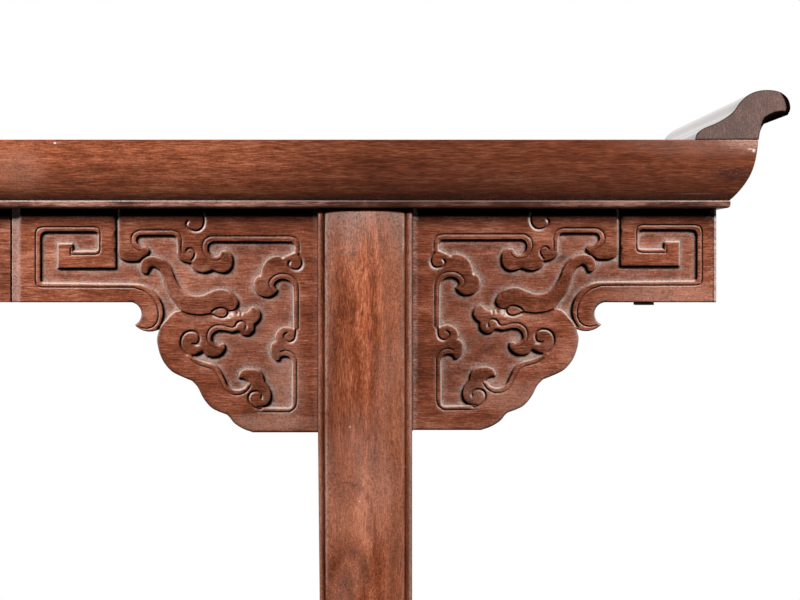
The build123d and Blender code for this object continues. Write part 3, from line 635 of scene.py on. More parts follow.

# Edge of the sunk ground, as runs that meet in corners
GROUND_EDGE = [
    [(73, 251), (94.5, 251)],
    [(97, 250), (97.9, 247.5)],
    [(97.9, 236)],
    [(97, 233), (94, 232)],
    [(47, 232)],
    [(42.5, 233.5), (40.8, 238)],
    [(40.8, 279)],
    [(41.5, 282), (45, 283)],
    [(133, 284)],
    [
        (139, 284.3), (145, 286), (150.5, 289.5), (156.5, 295), (161, 302), (163.3, 310), (163, 318),
        (160.5, 325), (157.5, 329),
    ],
    [(158.8, 329.6)],
    [(161, 325.5), (165, 321), (168, 317.5), (171, 314), (176, 311.5), (181, 311)],
    [
        (177, 304.5), (173, 299.5), (170, 295.5), (167.5, 291), (165.5, 286), (163.5, 280), (161.5, 274),
        (159, 270), (156, 268), (153, 267), (150.5, 268.5), (149, 271), (147.5, 273.8), (145, 274),
        (142.5, 272.5), (140.5, 269.5), (140, 266), (141.5, 261.5), (145, 258), (150, 256.5), (156, 257),
        (162, 259), (167, 263), (170.5, 268), (173, 274), (176, 281), (180, 288.5), (185, 292.5),
        (190, 295), (197, 296), (203, 295), (210, 292), (215, 290), (221, 289.5), (228, 291),
        (233, 294.5), (237, 299.5), (238.5, 304.5), (237, 308.5), (238, 311),
    ],
    [
        (241, 313), (246, 312.5), (250, 309.5), (251.5, 307.5), (254, 307.5), (258, 309.5),
        (260.5, 313.5), (260.5, 318), (258, 322), (254.5, 324.5),
    ],
    [(254.5, 327), (254, 331), (251, 334.5), (246.5, 336), (242, 334.5), (239.5, 332)],
    [
        (237, 331.5), (232, 332.5), (227, 331.5), (221, 330.5), (216, 331.5), (212.5, 335), (212, 340),
        (214.5, 343.5), (219, 345.5),
    ],
    [
        (221.5, 343.8), (224.5, 345), (225.5, 348.5), (223.5, 353), (219, 356.5), (213, 357.5),
        (207, 356), (203, 352),
    ],
    [(198, 354.5), (192, 355.5)],
    [
        (193, 357), (200, 360.5), (206, 362.5), (212, 364), (217, 367), (221, 372), (224.5, 379),
        (228, 386), (233, 389.5), (239, 390), (244, 388), (247, 384),
    ],
    [(249, 383.5), (247, 381), (243, 379), (239, 378.5)],
    [
        (238.5, 377), (240, 372.5), (244, 369.8), (250, 369), (256, 370), (260.5, 372), (263, 376),
        (264.5, 382),
    ],
    [(268, 387), (270.5, 392), (271.3, 397), (270, 402), (267, 405.5), (262.5, 407.6)],
    [(289, 408.3)],
    [(291.2, 406.8), (292, 404.5)],
    [(292.3, 364)],
    [(290.5, 359), (287, 356.5), (284, 356.3), (281, 357.5), (279.5, 360.5)],
    [(277, 361), (273, 357.5), (271, 353), (270.5, 348), (272, 343.5), (276, 341)],
    [(275, 338), (276.5, 332.5), (280, 329), (285, 327), (290, 327.5), (293.5, 329)],
    [(293.2, 292)],
    [
        (292.5, 286), (290, 282), (286, 279.8), (281, 279.3), (277, 281), (274.5, 284.5), (275.5, 288),
        (277.5, 290.5),
    ],
    [
        (276, 293.5), (272, 296.5), (267, 297.5), (261, 296), (256.5, 292), (254, 287), (254, 282),
        (256.5, 277.5), (261, 275),
    ],
    [(261.5, 270), (263.5, 264.5), (267, 260), (272, 257), (278, 256), (283, 257.5)],
    [(287, 255.5), (292, 253.5), (294.5, 252)],
    [(294.7, 246), (292, 242)],
    [(213, 241.7)],
    [
        (209.5, 243.5), (208, 247), (208.5, 251), (210.5, 254.5), (213.5, 256.5), (217, 256.3),
        (219.5, 254.5), (221, 251),
    ],
    [
        (226, 251), (229, 252.5), (232, 256), (233, 261), (232, 267), (229, 271), (225, 272.8),
        (219, 272.5), (213.5, 270.5),
    ],
    [(206, 273), (200, 272.5), (195, 270.5), (192, 267), (191.4, 263.6)],
    [(188.5, 263), (184.8, 262.3), (181.4, 260.6), (178.8, 257.8), (177, 254)],
    [(176.8, 241)],
    [(175.5, 237), (172, 235.3)],
    [(141, 235.3)],
    [
        (137.5, 237), (136.5, 240.5), (138, 244), (141.5, 246.3), (145, 247), (147.5, 248.5),
        (149, 250.5), (149, 253), (147, 256), (143, 258.5), (139, 261), (133, 261.8), (127, 261.5),
        (122, 259.5), (119.5, 257), (118.2, 252),
    ],
    [(118.2, 209)],
    [(115.8, 209)],
    [(116, 268.5)],
    [(57.5, 268.5)],
    [(57.5, 243.5)],
    [(71, 243.5)],
    [(72.6, 244.6), (73, 247)],
    [(73, 251)],
]

# The beads' middle lines, then single incised lines: each a list of points with a depth and a half-width
BEADS = [
    [
        [(143, 249), (138, 247.5), (134.5, 244.5), (133.5, 239.5), (135.5, 235), (140, 232.8)],
        [(172, 232.8)],
        [(177.5, 235), (179.5, 240)],
        [(179, 250), (179.5, 256)],
    ],
    [
        [
            (222, 251.5), (220.5, 255.5), (217.5, 258), (213, 258), (209, 256.5), (205.8, 252),
            (204.8, 247), (206.5, 241.5), (211, 238.8),
        ],
        [(290, 238.8)],
        [(295.5, 240.5), (297.3, 245)],
        [(297.5, 253)],
    ],
    [
        [
            (275, 289), (272, 286.5), (271.5, 283), (274, 279.5), (278, 277), (283, 276.3), (288, 277),
            (293, 280), (295.8, 284.5), (296.5, 290),
        ],
        [(296.5, 331)],
    ],
    [
        [(280, 355.5), (284, 353.2), (288, 353.5), (292, 356), (294.8, 361)],
        [(294.8, 400)],
        [(293.5, 406.5), (289, 410)],
        [(262, 410)],
        [(256, 409)],
    ],
    [[
        (192, 357), (196, 361), (200, 363.3), (206, 365), (212, 367), (216.5, 370), (220.5, 376),
        (224, 383), (228, 389.5), (234, 392.7), (240, 392.6), (245.5, 389.5), (248.8, 384.5), (249, 382),
    ]],
    [[
        (219, 345.5), (216, 345.5), (212, 344), (210, 341), (209.5, 336), (211.5, 331), (216, 328),
        (222, 327.8), (228, 329.3), (233, 330), (237, 328.5),
    ]],
]
INCISED = [
    (1.6, 1.2, [
        [(70.7, 246.5), (70.7, 254.8)],
        [(95, 254.8)],
        [(99, 253.5), (100.3, 250)],
        [(100.3, 233)],
        [(99, 228.8), (94.5, 227.3)],
        [(43, 227.3)],
        [(37.5, 229), (35.7, 234)],
        [(35.7, 281)],
        [(37, 286), (42, 287.5)],
        [(134, 287.8)],
        [
            (143, 291), (149, 294.8), (154, 300.5), (157.5, 307.5), (158.5, 313.5), (158, 320),
            (154.5, 325.8), (149.5, 328.3), (143.5, 328.5), (138, 326.8),
        ],
    ]),
    (1.3, 0.8, [[(224.6, 310), (225, 312.5), (224, 315.4)]]),
]
# Curls are cut from one side: steep against the curl, with a long slope outside it
EYE = [
    (210.5, 313.6), (213.6, 311), (217, 309), (221, 308.1), (225, 308.7), (227.6, 310.9), (227.8, 314),
    (226, 316.8), (222.5, 318), (218, 317.3), (214, 315.5), (210.5, 313.6),
]
CURLS = [
    (2.4, 3.0, [[
        (202, 210.5), (203.4, 215.5), (204.4, 220.5), (203.9, 224.8), (201.8, 228.6), (198.4, 230.9),
        (194.4, 231.1), (190.6, 229.9), (187.6, 227.3), (186.6, 224.2), (187.6, 221.9), (189.8, 220.6),
    ]]),
    (2.2, 2.6, [[
        (190.2, 262), (192.2, 260), (193.9, 257.6), (194.9, 254.6), (194.2, 251.4), (192, 249.3),
        (189.2, 248.8), (186.8, 250.4), (185.6, 253.6),
    ]]),
    (2.4, 3.2, [[
        (189, 355.5), (185.6, 353.4), (182.8, 350), (181.2, 345.5), (181.2, 340.8), (182.8, 336.3),
        (186, 333), (190.4, 331.7), (194.8, 332.2), (198.2, 334.4), (199.4, 338), (198.9, 341.8),
        (196.2, 344.2), (193.2, 344.2), (191.8, 342.2),
    ]]),
    (2.4, 3.6, [[
        (297.5, 253), (299.6, 256), (301.6, 259.5), (302.4, 263.2), (301.2, 267), (298.2, 269.6),
        (294, 269.6), (290.4, 268), (288.9, 265), (289.6, 262.4), (292, 261),
    ]]),
    (2.2, 2.9, [[
        (296.3, 328), (296, 332), (295.4, 337), (293.6, 340.6), (290, 342.1), (286.8, 341.2),
        (284.6, 338.6), (284.4, 335.6), (286.4, 333.5), (289.5, 333.2),
    ]]),
    (2.3, 3.0, [[
        (263, 409.3), (259, 409.2), (254.5, 407.6), (251, 404.4), (249, 400.6), (248.9, 396.6),
        (251, 393.3), (254.6, 391.8), (258.4, 391.9), (261.2, 394), (261.9, 397.2), (260.4, 399.8),
    ]]),
    (2.2, 2.7, [[
        (235.6, 328.5), (236, 325.5), (237.6, 323), (240.4, 321.6), (243.4, 321.9), (245.4, 324),
        (246, 327), (245.2, 329.3), (243.6, 330),
    ]]),
    (2.0, 2.4, [[(235, 309.6), (236.8, 311), (237.3, 313.4), (236.4, 316)]]),
    (2.0, 2.4, [[(238.8, 309.8), (240.6, 311.3), (241.1, 313.6), (240.2, 316)]]),
    (2.2, 3.0, [EYE]),
]
# Where the body of the dragon stands above its cheek: the cheek is cut down along this line
CHEEK_LINE = [[
    (179, 308.5), (183, 311), (187, 312.6), (192, 313.7), (200, 314.5), (206, 313.8), (210.5, 313),
    (213.7, 310.9), (217.3, 308.7), (221, 307.9), (224.5, 308.2), (227.3, 309.5), (230.5, 310.2),
    (234, 309.2), (236.8, 307),
]]
# Painted highlights on small raised spots of the carving: each a middle, a reach across, a reach down and a
# share
HIGHLIGHT_SPOTS = [
    (231.8, 313.6, 2.0, 3.2, 1.0), (229, 317.8, 2.0, 1.2, 0.8), (238.4, 314.4, 1.0, 2.0, 0.9),
    (242.2, 314.6, 1.0, 2.0, 0.9), (283, 257.8, 1.5, 1.2, 1.0), (259.9, 275.9, 1.4, 1.4, 0.9),
    (293.5, 252.6, 2.0, 0.9, 0.9), (197.4, 345.7, 3.0, 0.9, 0.9), (247, 327.4, 0.9, 1.9, 0.8),
    (262.6, 398, 0.9, 2.1, 0.8),
]
# Middles of the rounded forms, each with its radius on the pattern
ROUNDED = [
    (146, 265, 9), (155, 262, 8), (166, 270, 9), (171, 284, 9), (180, 297, 10), (192, 303, 10),
    (206, 302, 11), (220, 299, 11), (232, 303, 10), (130, 254, 12), (143, 252, 8), (117, 222, 9),
    (117, 240, 9), (117, 256, 9), (211, 264, 14), (224, 260, 11), (198, 267, 9), (187, 255, 8),
    (268, 265, 10), (262, 284, 11), (268, 291, 9), (278, 262, 9), (248, 316, 9), (256, 314, 8),
    (247, 329, 9), (190, 345, 11), (203, 350, 9), (215, 350, 11), (246, 375, 9), (257, 377, 9),
    (262, 390, 10), (261, 400, 10), (283, 336, 9), (277, 348, 9), (275, 355, 7),
]
# Outline of a wing from the hook's start to the leg, as distance from the leg's axis and height, in mm
HOOK = [(254.0, 746.0), (243.2, 732.5), (250.4, 721.7), (238.0, 714.5), (223.9, 716.5)]
LOBES = [
    [
        (226.2, 706.3), (224.1, 693.2), (220.3, 683.5), (216.0, 677.0), (209.3, 670.4), (196.1, 663.9),
        (188.2, 660.7),
    ],
    [(182.2, 654.2), (177.3, 644.4), (173.1, 637.9), (167.0, 631.4), (161.0, 628.1), (150.5, 624.0)],
    [(147.8, 621.6), (142.6, 615.1), (132.7, 608.6), (122.0, 604.7)],
]


def evenly(points, step):
    """The same line with its points an even step apart."""
    points = np.array(points, float)
    run = np.concatenate([[0], np.cumsum(np.hypot(*np.diff(points, axis=0).T))])
    count = max(2, int(round(run[-1] / step)) + 1)
    places = np.linspace(0, run[-1], count)
    return np.column_stack([np.interp(places, run, points[:, axis]) for axis in (0, 1)])


def smooth_run(points):
    """A smooth line through a run of points; a run of two stays straight."""
    points = [np.array(p, float) for p in points]
    if len(points) == 2:
        return np.array(points)
    points = [2 * points[0] - points[1], *points, 2 * points[-1] - points[-2]]
    line = []
    for a, b, c, d in zip(points, points[1:], points[2:], points[3:]):
        chords = [max(1e-6, np.linalg.norm(q - p)) for p, q in ((a, b), (b, c), (c, d))]
        knots = np.cumsum([0] + [chord**0.5 for chord in chords])
        for t in np.linspace(knots[1], knots[2], 9)[:-1]:
            ab = ((knots[1] - t) * a + t * b) / knots[1]
            bc = ((knots[2] - t) * b + (t - knots[1]) * c) / (knots[2] - knots[1])
            cd = ((knots[3] - t) * c + (t - knots[2]) * d) / (knots[3] - knots[2])
            abc = ((knots[2] - t) * ab + t * bc) / knots[2]
            bcd = ((knots[3] - t) * bc + (t - knots[1]) * cd) / (knots[3] - knots[1])
            line.append(((knots[2] - t) * abc + (t - knots[1]) * bcd) / (knots[2] - knots[1]))
    return np.array(line + [points[-2]])


def joined_runs(runs):
    """Runs joined end to end into one line, smooth within each and with a corner between them."""
    line = [np.array(runs[0][:1], float)]
    last = runs[0][0]
    for number, run in enumerate(runs):
        stretch = smooth_run(run if number == 0 else [last, *run])
        line.append(stretch[1:])
        last = run[-1]
    return np.vstack(line)


def through_three(a, b, c, count=24):
    """Points on the arc from a through b to c."""
    a, b, c = (complex(*p) for p in (a, b, c))
    turn = (c - a) / (b - a)
    centre = (b - a) * (turn - abs(turn) ** 2) / (2j * turn.imag) + a
    start, end = np.angle(a - centre), np.angle(c - centre)
    middle = np.angle(b - centre)
    if (middle - start) % (2 * math.pi) < (end - start) % (2 * math.pi):
        sweep = (end - start) % (2 * math.pi)
    else:
        sweep = -((start - end) % (2 * math.pi))
    angles = start + np.linspace(0, 1, count) * sweep
    arc = centre + abs(a - centre) * np.exp(1j * angles)
    return np.column_stack([arc.real, arc.imag])


def closed(loop):
    """A line brought back to its first point."""
    return np.vstack([loop, loop[:1]])


def inside(points, loop):
    """Whether each point lies inside a closed line."""
    x0, y0 = loop[:, 0], loop[:, 1]
    x1, y1 = np.roll(x0, -1), np.roll(y0, -1)
    slope = (x1 - x0) / np.where(y1 == y0, 1e-12, y1 - y0)
    found = np.zeros(len(points), bool)
    for start in range(0, len(points), 4000):
        x, y = points[start : start + 4000, 0][:, None], points[start : start + 4000, 1][:, None]
        crossed = ((y0 > y) != (y1 > y)) & (x < slope * (y - y0) + x0)
        found[start : start + 4000] = crossed.sum(1) % 2 == 1
    return found


def finder(line):
    """A search tree over a line's points."""
    tree = KDTree(len(line))
    for index, (x, y) in enumerate(line):
        tree.insert((x, y, 0), index)
    tree.balance()
    return tree


def nearest(points, line, facts=()):
    """Distance from each point to a line given by close points, and the line's facts there."""
    tree = finder(line)
    found = [tree.find((x, y, 0)) for x, y in points]
    index = np.array([f[1] for f in found])
    near = np.array([f[2] for f in found])
    return (near, *[fact[index] for fact in facts])


def gathered(lines, step, ends=3.0):
    """Several lines as one cloud of close points, with their taper towards the ends and their normals."""
    points, tapers, normals = [], [], []
    for line in lines:
        line = evenly(line, step)
        run = np.arange(len(line)) * step
        points.append(line)
        tapers.append(np.clip(np.minimum(run, run[::-1]) / ends, 0, 1))
        way = np.gradient(line, axis=0)
        way /= np.hypot(*way.T)[:, None] + 1e-9
        normals.append(np.column_stack([-way[:, 1], way[:, 0]]))
    return np.vstack(points), np.concatenate(tapers), np.vstack(normals)


def alongside(lines, step, offsets, sides=(1,)):
    """Points beside lines, at each offset from them on each side asked for."""
    points, _, normals = gathered(lines, step)
    return [points + side * offset * normals for offset in offsets for side in sides]


def spaced(loop, wanted, gap):
    """A closed line's points and the wanted ones inside it that keep a gap from those before them."""
    kept, cells = [], {}
    for number, (x, y) in enumerate([*loop, *wanted[inside(wanted, loop)]]):
        column, row = int(x // gap), int(y // gap)
        close = (p for i in (-1, 0, 1) for j in (-1, 0, 1) for p in cells.get((column + i, row + j), ()))
        if number < len(loop) or all((px - x) ** 2 + (py - y) ** 2 >= gap * gap for px, py in close):
            cells.setdefault((column, row), []).append((x, y))
            kept.append((x, y))
    return kept


def joined_up(points, count):
    """Points joined into triangles, inside a closed line made by the first count of them."""
    edges = [(i, (i + 1) % count) for i in range(count)]
    placed, _, triangles, _, _, _ = delaunay_2d_cdt([Vector(p) for p in points], edges, [], 1, 1e-6)
    return np.array([tuple(p) for p in placed]), triangles


def on_board(points, outer):
    """Pattern points as distance from the leg's axis and height, in mm, on the inner or the outer wing."""
    points = np.array(points, float)
    reach = (PATTERN_AXIS - points[:, 0]) * PATTERN_UNIT
    height = PATTERN_HEAD - points[:, 1] * PATTERN_UNIT
    if outer:
        reach = reach * OUTER_STRETCH[0] + OUTER_STRETCH[1]
        height = height + OUTER_LIFT * np.clip((BOARD_TOP_Z - height) / 15, 0, 1)
    return np.column_stack([reach, height])


def wing_outline(outer):
    """Closed outline of a wing, with how far each point's arris is rounded."""
    hook, lobes = np.array(HOOK), [np.array(lobe) for lobe in LOBES]
    end = OUTER_REACH if outer else INNER_REACH
    if outer:
        for points in (hook, *lobes):
            points[:, 0] = points[:, 0] * OUTER_STRETCH[0] + OUTER_STRETCH[1]
            points[:, 1] = APRON_LOW_Z + (points[:, 1] - APRON_LOW_Z) * OUTER_FALL
    low = lobes[-1][-1][1]
    sides = [
        ([(end, BOARD_TOP_Z), (end, APRON_LOW_Z)], 1.5 if outer else 0.2),
        ([(end, APRON_LOW_Z), hook[0]], 1.8),
        (through_three(*hook[:3]), 3.4),
        (through_three(*hook[2:]), 1.6),
        (joined_runs([[hook[-1], *lobes[0]], *lobes[1:]]), 3.2),
        ([lobes[-1][-1], (LEG_HALF_WIDTH, low)], 2.8),
        ([(LEG_HALF_WIDTH, low), (LEG_HALF_WIDTH, BOARD_TOP_Z)], 0.1),
        ([(LEG_HALF_WIDTH, BOARD_TOP_Z), (end, BOARD_TOP_Z)], 0.1),
    ]
    loop, arris = [], []
    for side, radius in sides:
        side = evenly(side, RIM_STEP)[:-1]
        loop.append(side)
        arris.append(np.full(len(side), radius))
    return np.vstack(loop), np.concatenate(arris)


def lean(points, depth, triangles):
    """The way in which the surface deepens at each point, as a slope outwards and a slope upwards."""
    corners = np.array(triangles)
    start, second, third = (points[corners[:, i]] for i in range(3))
    drop_two, drop_three = (depth[corners[:, i]] - depth[corners[:, 0]] for i in (1, 2))
    two, three = second - start, third - start
    area = two[:, 0] * three[:, 1] - two[:, 1] * three[:, 0]
    slope = np.column_stack([
        drop_two * three[:, 1] - drop_three * two[:, 1],
        drop_three * two[:, 0] - drop_two * three[:, 0],
    ])
    total, weight = np.zeros((len(points), 2)), np.full(len(points), 1e-6)
    for i in range(3):
        np.add.at(total, corners[:, i], slope * np.sign(area)[:, None])
        np.add.at(weight, corners[:, i], np.abs(area))
    return total / weight[:, None]


def ground_closeness(points, ground_line):
    """How much of the ground's edge lies round each point: nought in the open, one in a tight corner."""
    tree = finder(ground_line)
    lengths = [len(tree.find_range((x, y, 0), CORNER_REACH)) * CLOSE_STEP for x, y in points]
    return np.array(lengths) / (4.5 * CORNER_REACH)


def carved_surface(points, triangles, outer, loop, arris, ground, beads, lines, curls):
    """Depth in mm below a wing's face at each point, and the three marks' shares there: dustiness with
    painted light, dirt with painted shade, and rubbed wood with painted highlight.
    """
    ground_line = evenly(closed(ground), CLOSE_STEP)
    away, *wall_place = nearest(points, ground_line, (ground_line[:, 0], ground_line[:, 1]))
    away = np.where(inside(points, evenly(ground, 1.0)), -away, away)
    facing = (np.column_stack(wall_place) - points) / np.where(np.abs(away) < 1e-3, 1e-3, away)[:, None]
    soft = np.zeros(len(points))
    for u, v, radius in ROUNDED:
        middle = on_board([(u, v)], outer)[0]
        gap = np.hypot(*(points - middle).T)
        soft = np.maximum(soft, np.exp(-((gap / (radius * PATTERN_UNIT)) ** 4)))
    fall = 0.35 + 1.5 * soft
    shoulder = 0.9 + 4.0 * soft
    half = WALL_WIDTH / 2
    depth = GROUND_DEPTH - (GROUND_DEPTH - fall) * soft_step((away + half) / WALL_WIDTH)
    depth = np.where(away > half, fall * (1 - np.clip((away - half) / shoulder, 0, 1)) ** 2, depth)

    # The bead stands between two grooves
    bead_points, bead_taper, _ = gathered(beads, CLOSE_STEP)
    near, taper = nearest(points, bead_points, (bead_taper,))
    field_side = soft_step((away - 1.2) / 0.8)
    groove = BEAD_GROOVE * taper * field_side * np.clip(1 - np.abs(near - 2.6) / 1.15, 0, 1)
    crown = 0.8 * taper * np.clip(near / 1.7, 0, 1) ** 2 * (near < 2.6) * field_side
    depth = np.maximum(depth, np.maximum(groove, crown))

    # Incised lines, then the cheek's drop under the body, then the curls
    bottom = np.clip(groove / BEAD_GROOVE, 0, 1) ** 3
    for deep, half_width, line in lines:
        line_points, line_taper, _ = gathered([line], CLOSE_STEP)
        near, taper = nearest(points, line_points, (line_taper,))
        here = taper * np.clip(1 - near / half_width, 0, 1)
        bottom = np.maximum(bottom, here**3)
        depth = np.maximum(depth, deep * here * soft_step((away + 0.5) / 1.5))
    cheek = evenly(on_board(joined_runs(CHEEK_LINE), outer), 0.4)
    near, level = nearest(points, cheek, (cheek[:, 1],))
    below = level - points[:, 1]
    drop = 2.2 * soft_step((below + 0.2) / 0.9) * (1 - soft_step((near - 1.5) / 9.0)) * (away > 0)
    drop = np.where(inside(points, on_board(EYE, outer)), 0.3 * drop, drop)
    bottom = np.maximum(bottom, 0.9 * bell(below - 1.1, 0.7) * (near < 2.5) * (away > 0))
    depth = np.maximum(depth, drop)
    cut = np.zeros(len(points))
    for deep, width, line in curls:
        line_points, line_taper, left_side = gathered([line], CLOSE_STEP)
        turn = (left_side[:-4, 0] * left_side[4:, 1] - left_side[:-4, 1] * left_side[4:, 0]).sum()
        facts = (line_taper, *line_points.T, *(-np.sign(turn) * left_side).T)
        near, taper, line_x, line_y, outside_x, outside_y = nearest(points, line_points, facts)
        off = (points[:, 0] - line_x) * outside_x + (points[:, 1] - line_y) * outside_y
        long_slope = np.clip(1 - near / width, 0, 1) ** 1.7
        here = taper * np.where(off > 0, long_slope, np.clip(1 - near / 1.7, 0, 1))
        bottom = np.maximum(bottom, 0.8 * taper * bell(near, 0.5))
        cut = np.maximum(cut, taper * (near < width))
        depth = depth + deep * here * soft_step((away + 0.5) / 1.5)

    # The wing's own rounded arris, the inner wing's bevelled end, and the unevenness of hand work
    rim, radius = nearest(points, loop, (arris,))
    gap = np.clip(rim / radius, 0, 1)
    depth = depth + np.where(rim < radius, radius * (1 - np.sqrt(np.clip(1 - (1 - gap) ** 2, 0, 1))) * 0.9, 0)
    at_end = points[:, 0] > INNER_REACH - 0.5
    if not outer:
        depth = depth + 3.0 * soft_step((points[:, 0] - (INNER_REACH - 8.9)) / 1.4) + 1.4 * at_end

    wave = uneven(points, 0.035, 0.05, 3.7 if outer else 9.2)
    ripple = uneven(points, 0.11, 0.16, 1.3)
    depth = depth + np.where(away < 0, 0.28 * ripple, 0.16 * wave) * np.clip(rim / 4, 0, 1)
    depth = np.clip(depth, 0, 6.0)

    # Dust lies at the foot of the walls and in corners and grime in the cuts, with painted light and shade
    # laid on by LIGHT_WAY
    # Slopes that face LIGHT_WAY get painted highlight, and those that face away painted shade
    lit = lean(points, depth, triangles) @ LIGHT_WAY
    pale, dark = np.clip(lit / np.where(cut > 0.1, 0.95, 1.2), 0, 1), np.clip(-lit / 0.65, 0, 1)
    shaded = np.clip(-(facing @ LIGHT_WAY), 0, 1)
    by_form = soft_step((soft - 0.03) / 0.25)
    from_foot = np.clip(-away - half, 0, 30)
    leg_gap = points[:, 0] - LEG_HALF_WIDTH
    raised = soft * (away > 0)
    pale = pale * (1 - 0.8 * raised * soft_step((away - 0.7) / 0.6))
    corner = np.clip(ground_closeness(points, ground_line) - 0.42, 0, 0.4) * 2.2
    drift = np.exp(-from_foot / 6.0) * np.clip(0.2 + 0.5 * ripple, 0, 0.5)
    banked = 0.75 * np.exp(-from_foot / (1.7 + by_form))
    # Dust at the foot of the walls, in corners and in drifts, and painted highlight on slopes that face
    # LIGHT_WAY
    dust_and_light = (away < -half) * (0.04 + banked + corner + drift) + 0.45 * pale
    beside = 1 - soft_step((leg_gap - (3.6 if outer else 3.0)) / 4.0)
    ticks = uneven(points, 0.25, 1.3, 8.1)
    dust_and_light = dust_and_light + (0.32 * np.clip(0.75 + 1.2 * ripple, 0.2, 1.2) if outer else 0.12) * beside
    # Painted shade on slopes that face away, grime and painted shade in the bottoms of the cuts, and a darker
    # tone over the raised forms
    grime_and_shade = np.maximum(np.where(raised > 0.1, dark**1.5, dark**1.15), 0.85 * bottom)
    grime_and_shade = np.maximum(grime_and_shade, 0.3 * raised * soft_step((away - 0.8) / 2.5))
    # Painted shade on the wing's rounded arris; along the lower rim, painted highlight on the outer wing and
    # painted shade on the inner one
    grime_and_shade = np.maximum(grime_and_shade, 0.3 * (rim < radius) * (radius > 2.5) * (1 - gap))
    low_edge = (radius > 3.0) * bell(rim, 4.2)
    if outer:
        dust_and_light = dust_and_light + 0.3 * low_edge * (1 - bell(rim, 1.4))
    else:
        grime_and_shade = np.maximum(grime_and_shade, 0.38 * low_edge)
    # A painted shadow with grime at the foot of walls that face away from LIGHT_WAY
    foot_width = 0.5 + 0.75 * shaded
    grime_and_shade = np.maximum(grime_and_shade, (0.35 + 0.65 * shaded) * bell(away + half + 0.3, foot_width) * (away < -half))
    grime_and_shade = np.maximum(grime_and_shade, 0.9 * bell(leg_gap, 0.8))
    # Painted highlight on edges that face LIGHT_WAY, fullest on the curls, and flecks of wear beside the leg
    # on the outer wing
    highlight_share = np.where(cut > 0.1, 1.0, 0.6 - 0.25 * by_form)
    wear_and_highlight = np.maximum(0.95 * highlight_share * pale**1.7, 0.24 * beside * soft_step((ticks - 0.1) / 0.25) * outer)
    # Painted highlights at the listed spots
    for u, v, across, down, share in HIGHLIGHT_SPOTS:
        gap = (points - on_board([(u, v)], outer)[0]) / (np.array([across, down]) * PATTERN_UNIT)
        wear_and_highlight = np.maximum(wear_and_highlight, share * np.exp(-((gap**2).sum(1) ** 1.5)))
    if outer:
        end_gap = OUTER_REACH - points[:, 0]
        flecks = uneven(points, 0.3, 0.7, 4.4)
        wear_and_highlight = np.maximum(wear_and_highlight, np.clip(0.75 + 0.5 * flecks, 0, 1) * bell(end_gap - 0.9, 1.1))
        near_end = np.exp(-np.clip(end_gap - 2, 0, 99) / 3.0)
        wear_and_highlight = np.maximum(wear_and_highlight, 0.3 * soft_step((flecks - 0.1) / 0.3) * near_end)
        grime_and_shade = np.maximum(grime_and_shade, 0.6 * bell(end_gap - 3.0, 0.6))
    else:
        bevel = soft_step((points[:, 0] - (INNER_REACH - 8.2)) / 0.7)
        dust_and_light = np.maximum(dust_and_light * (1 - bevel), 0.5 * bevel)
        grime_and_shade = grime_and_shade * (1 - bevel) + at_end
    return depth, np.clip(dust_and_light, 0, 1), np.clip(grime_and_shade, 0, 1), np.clip(wear_and_highlight, 0, 1)


def carved_wing(outer):
    """A wing's points (distance from the leg's axis, height), depths, triangles and shares of marks."""
    loop, arris = wing_outline(outer)
    ground = evenly(closed(on_board(joined_runs(GROUND_EDGE), outer)), 0.7)[:-1]
    beads = [on_board(joined_runs(line), outer) for line in BEADS]
    lines = [(deep, half_width, on_board(joined_runs(line), outer)) for deep, half_width, line in INCISED]
    curls = [(deep, width, on_board(joined_runs(line), outer)) for deep, width, line in CURLS]
    cheek = on_board(joined_runs(CHEEK_LINE), outer)

    wanted = alongside([closed(ground)], LINE_STEP, (1.15, -1.15, 0.4, -0.4, 1.9, -1.9, 2.9, -3.0))
    wanted += alongside(beads, LINE_STEP, (2.5, 1.95, 3.05, 3.5, 0.0, 1.2), (-1, 1))
    for _, half_width, line in lines:
        offsets = [share * half_width for share in (0.0, 0.5, 1.0, 1.6)]
        wanted += alongside([line], LINE_STEP, offsets, (-1, 1))
    for _, _, line in curls:
        offsets = (0.0, 0.6, -0.6, 1.15, -1.15, 1.75, -1.75, 2.4, -2.4, 3.3, -3.3)
        wanted += alongside([line], CURL_STEP, offsets)
    for u, v, across, down, _ in HIGHLIGHT_SPOTS:
        steps = np.linspace(-1.5, 1.5, 7)
        wanted.append(on_board([(u + across * i, v + down * j) for i in steps for j in steps], outer))
    wanted += alongside([cheek], LINE_STEP, (-1.2, -0.6, 0.0, 0.6, 1.2))
    wanted += alongside([closed(loop)], RIM_STEP, (0.5, 1.1, 1.9, 2.9), (-1, 1))
    low, high = loop.min(0), loop.max(0)
    for gap in (1.2, 2.4, 3.6, 4.8, 6.0, 7.2, 8.4) if outer else ():
        heights = np.arange(low[1] + 1, high[1], 0.8)
        wanted.append(np.column_stack([np.full(len(heights), LEG_HALF_WIDTH + gap), heights]))
    for row, height in enumerate(np.arange(low[1] + 1, high[1] - 0.5, OPEN_STEP * 0.87)):
        across = np.arange(low[0] + 1 + (row % 2) * OPEN_STEP / 2, high[0] - 0.5, OPEN_STEP)
        wanted.append(np.column_stack([across, np.full(len(across), height)]))

    points, triangles = joined_up(spaced(loop, np.vstack(wanted), POINT_GAP), len(loop))
    depth, *layers = carved_surface(points, triangles, outer, loop, arris, ground, beads, lines, curls)
    return points, depth, triangles, layers


def marked_vert(mesh, layers, spot, shares):
    """A vertex at a spot given in mm, with its shares of the three marks: dustiness with painted light, dirt
    with painted shade, and rubbed wood with painted highlight.
    """
    vert = mesh.verts.new([c / 1000 for c in spot])
    for layer, share in zip(layers, shares):
        vert[layer] = share
    return vert


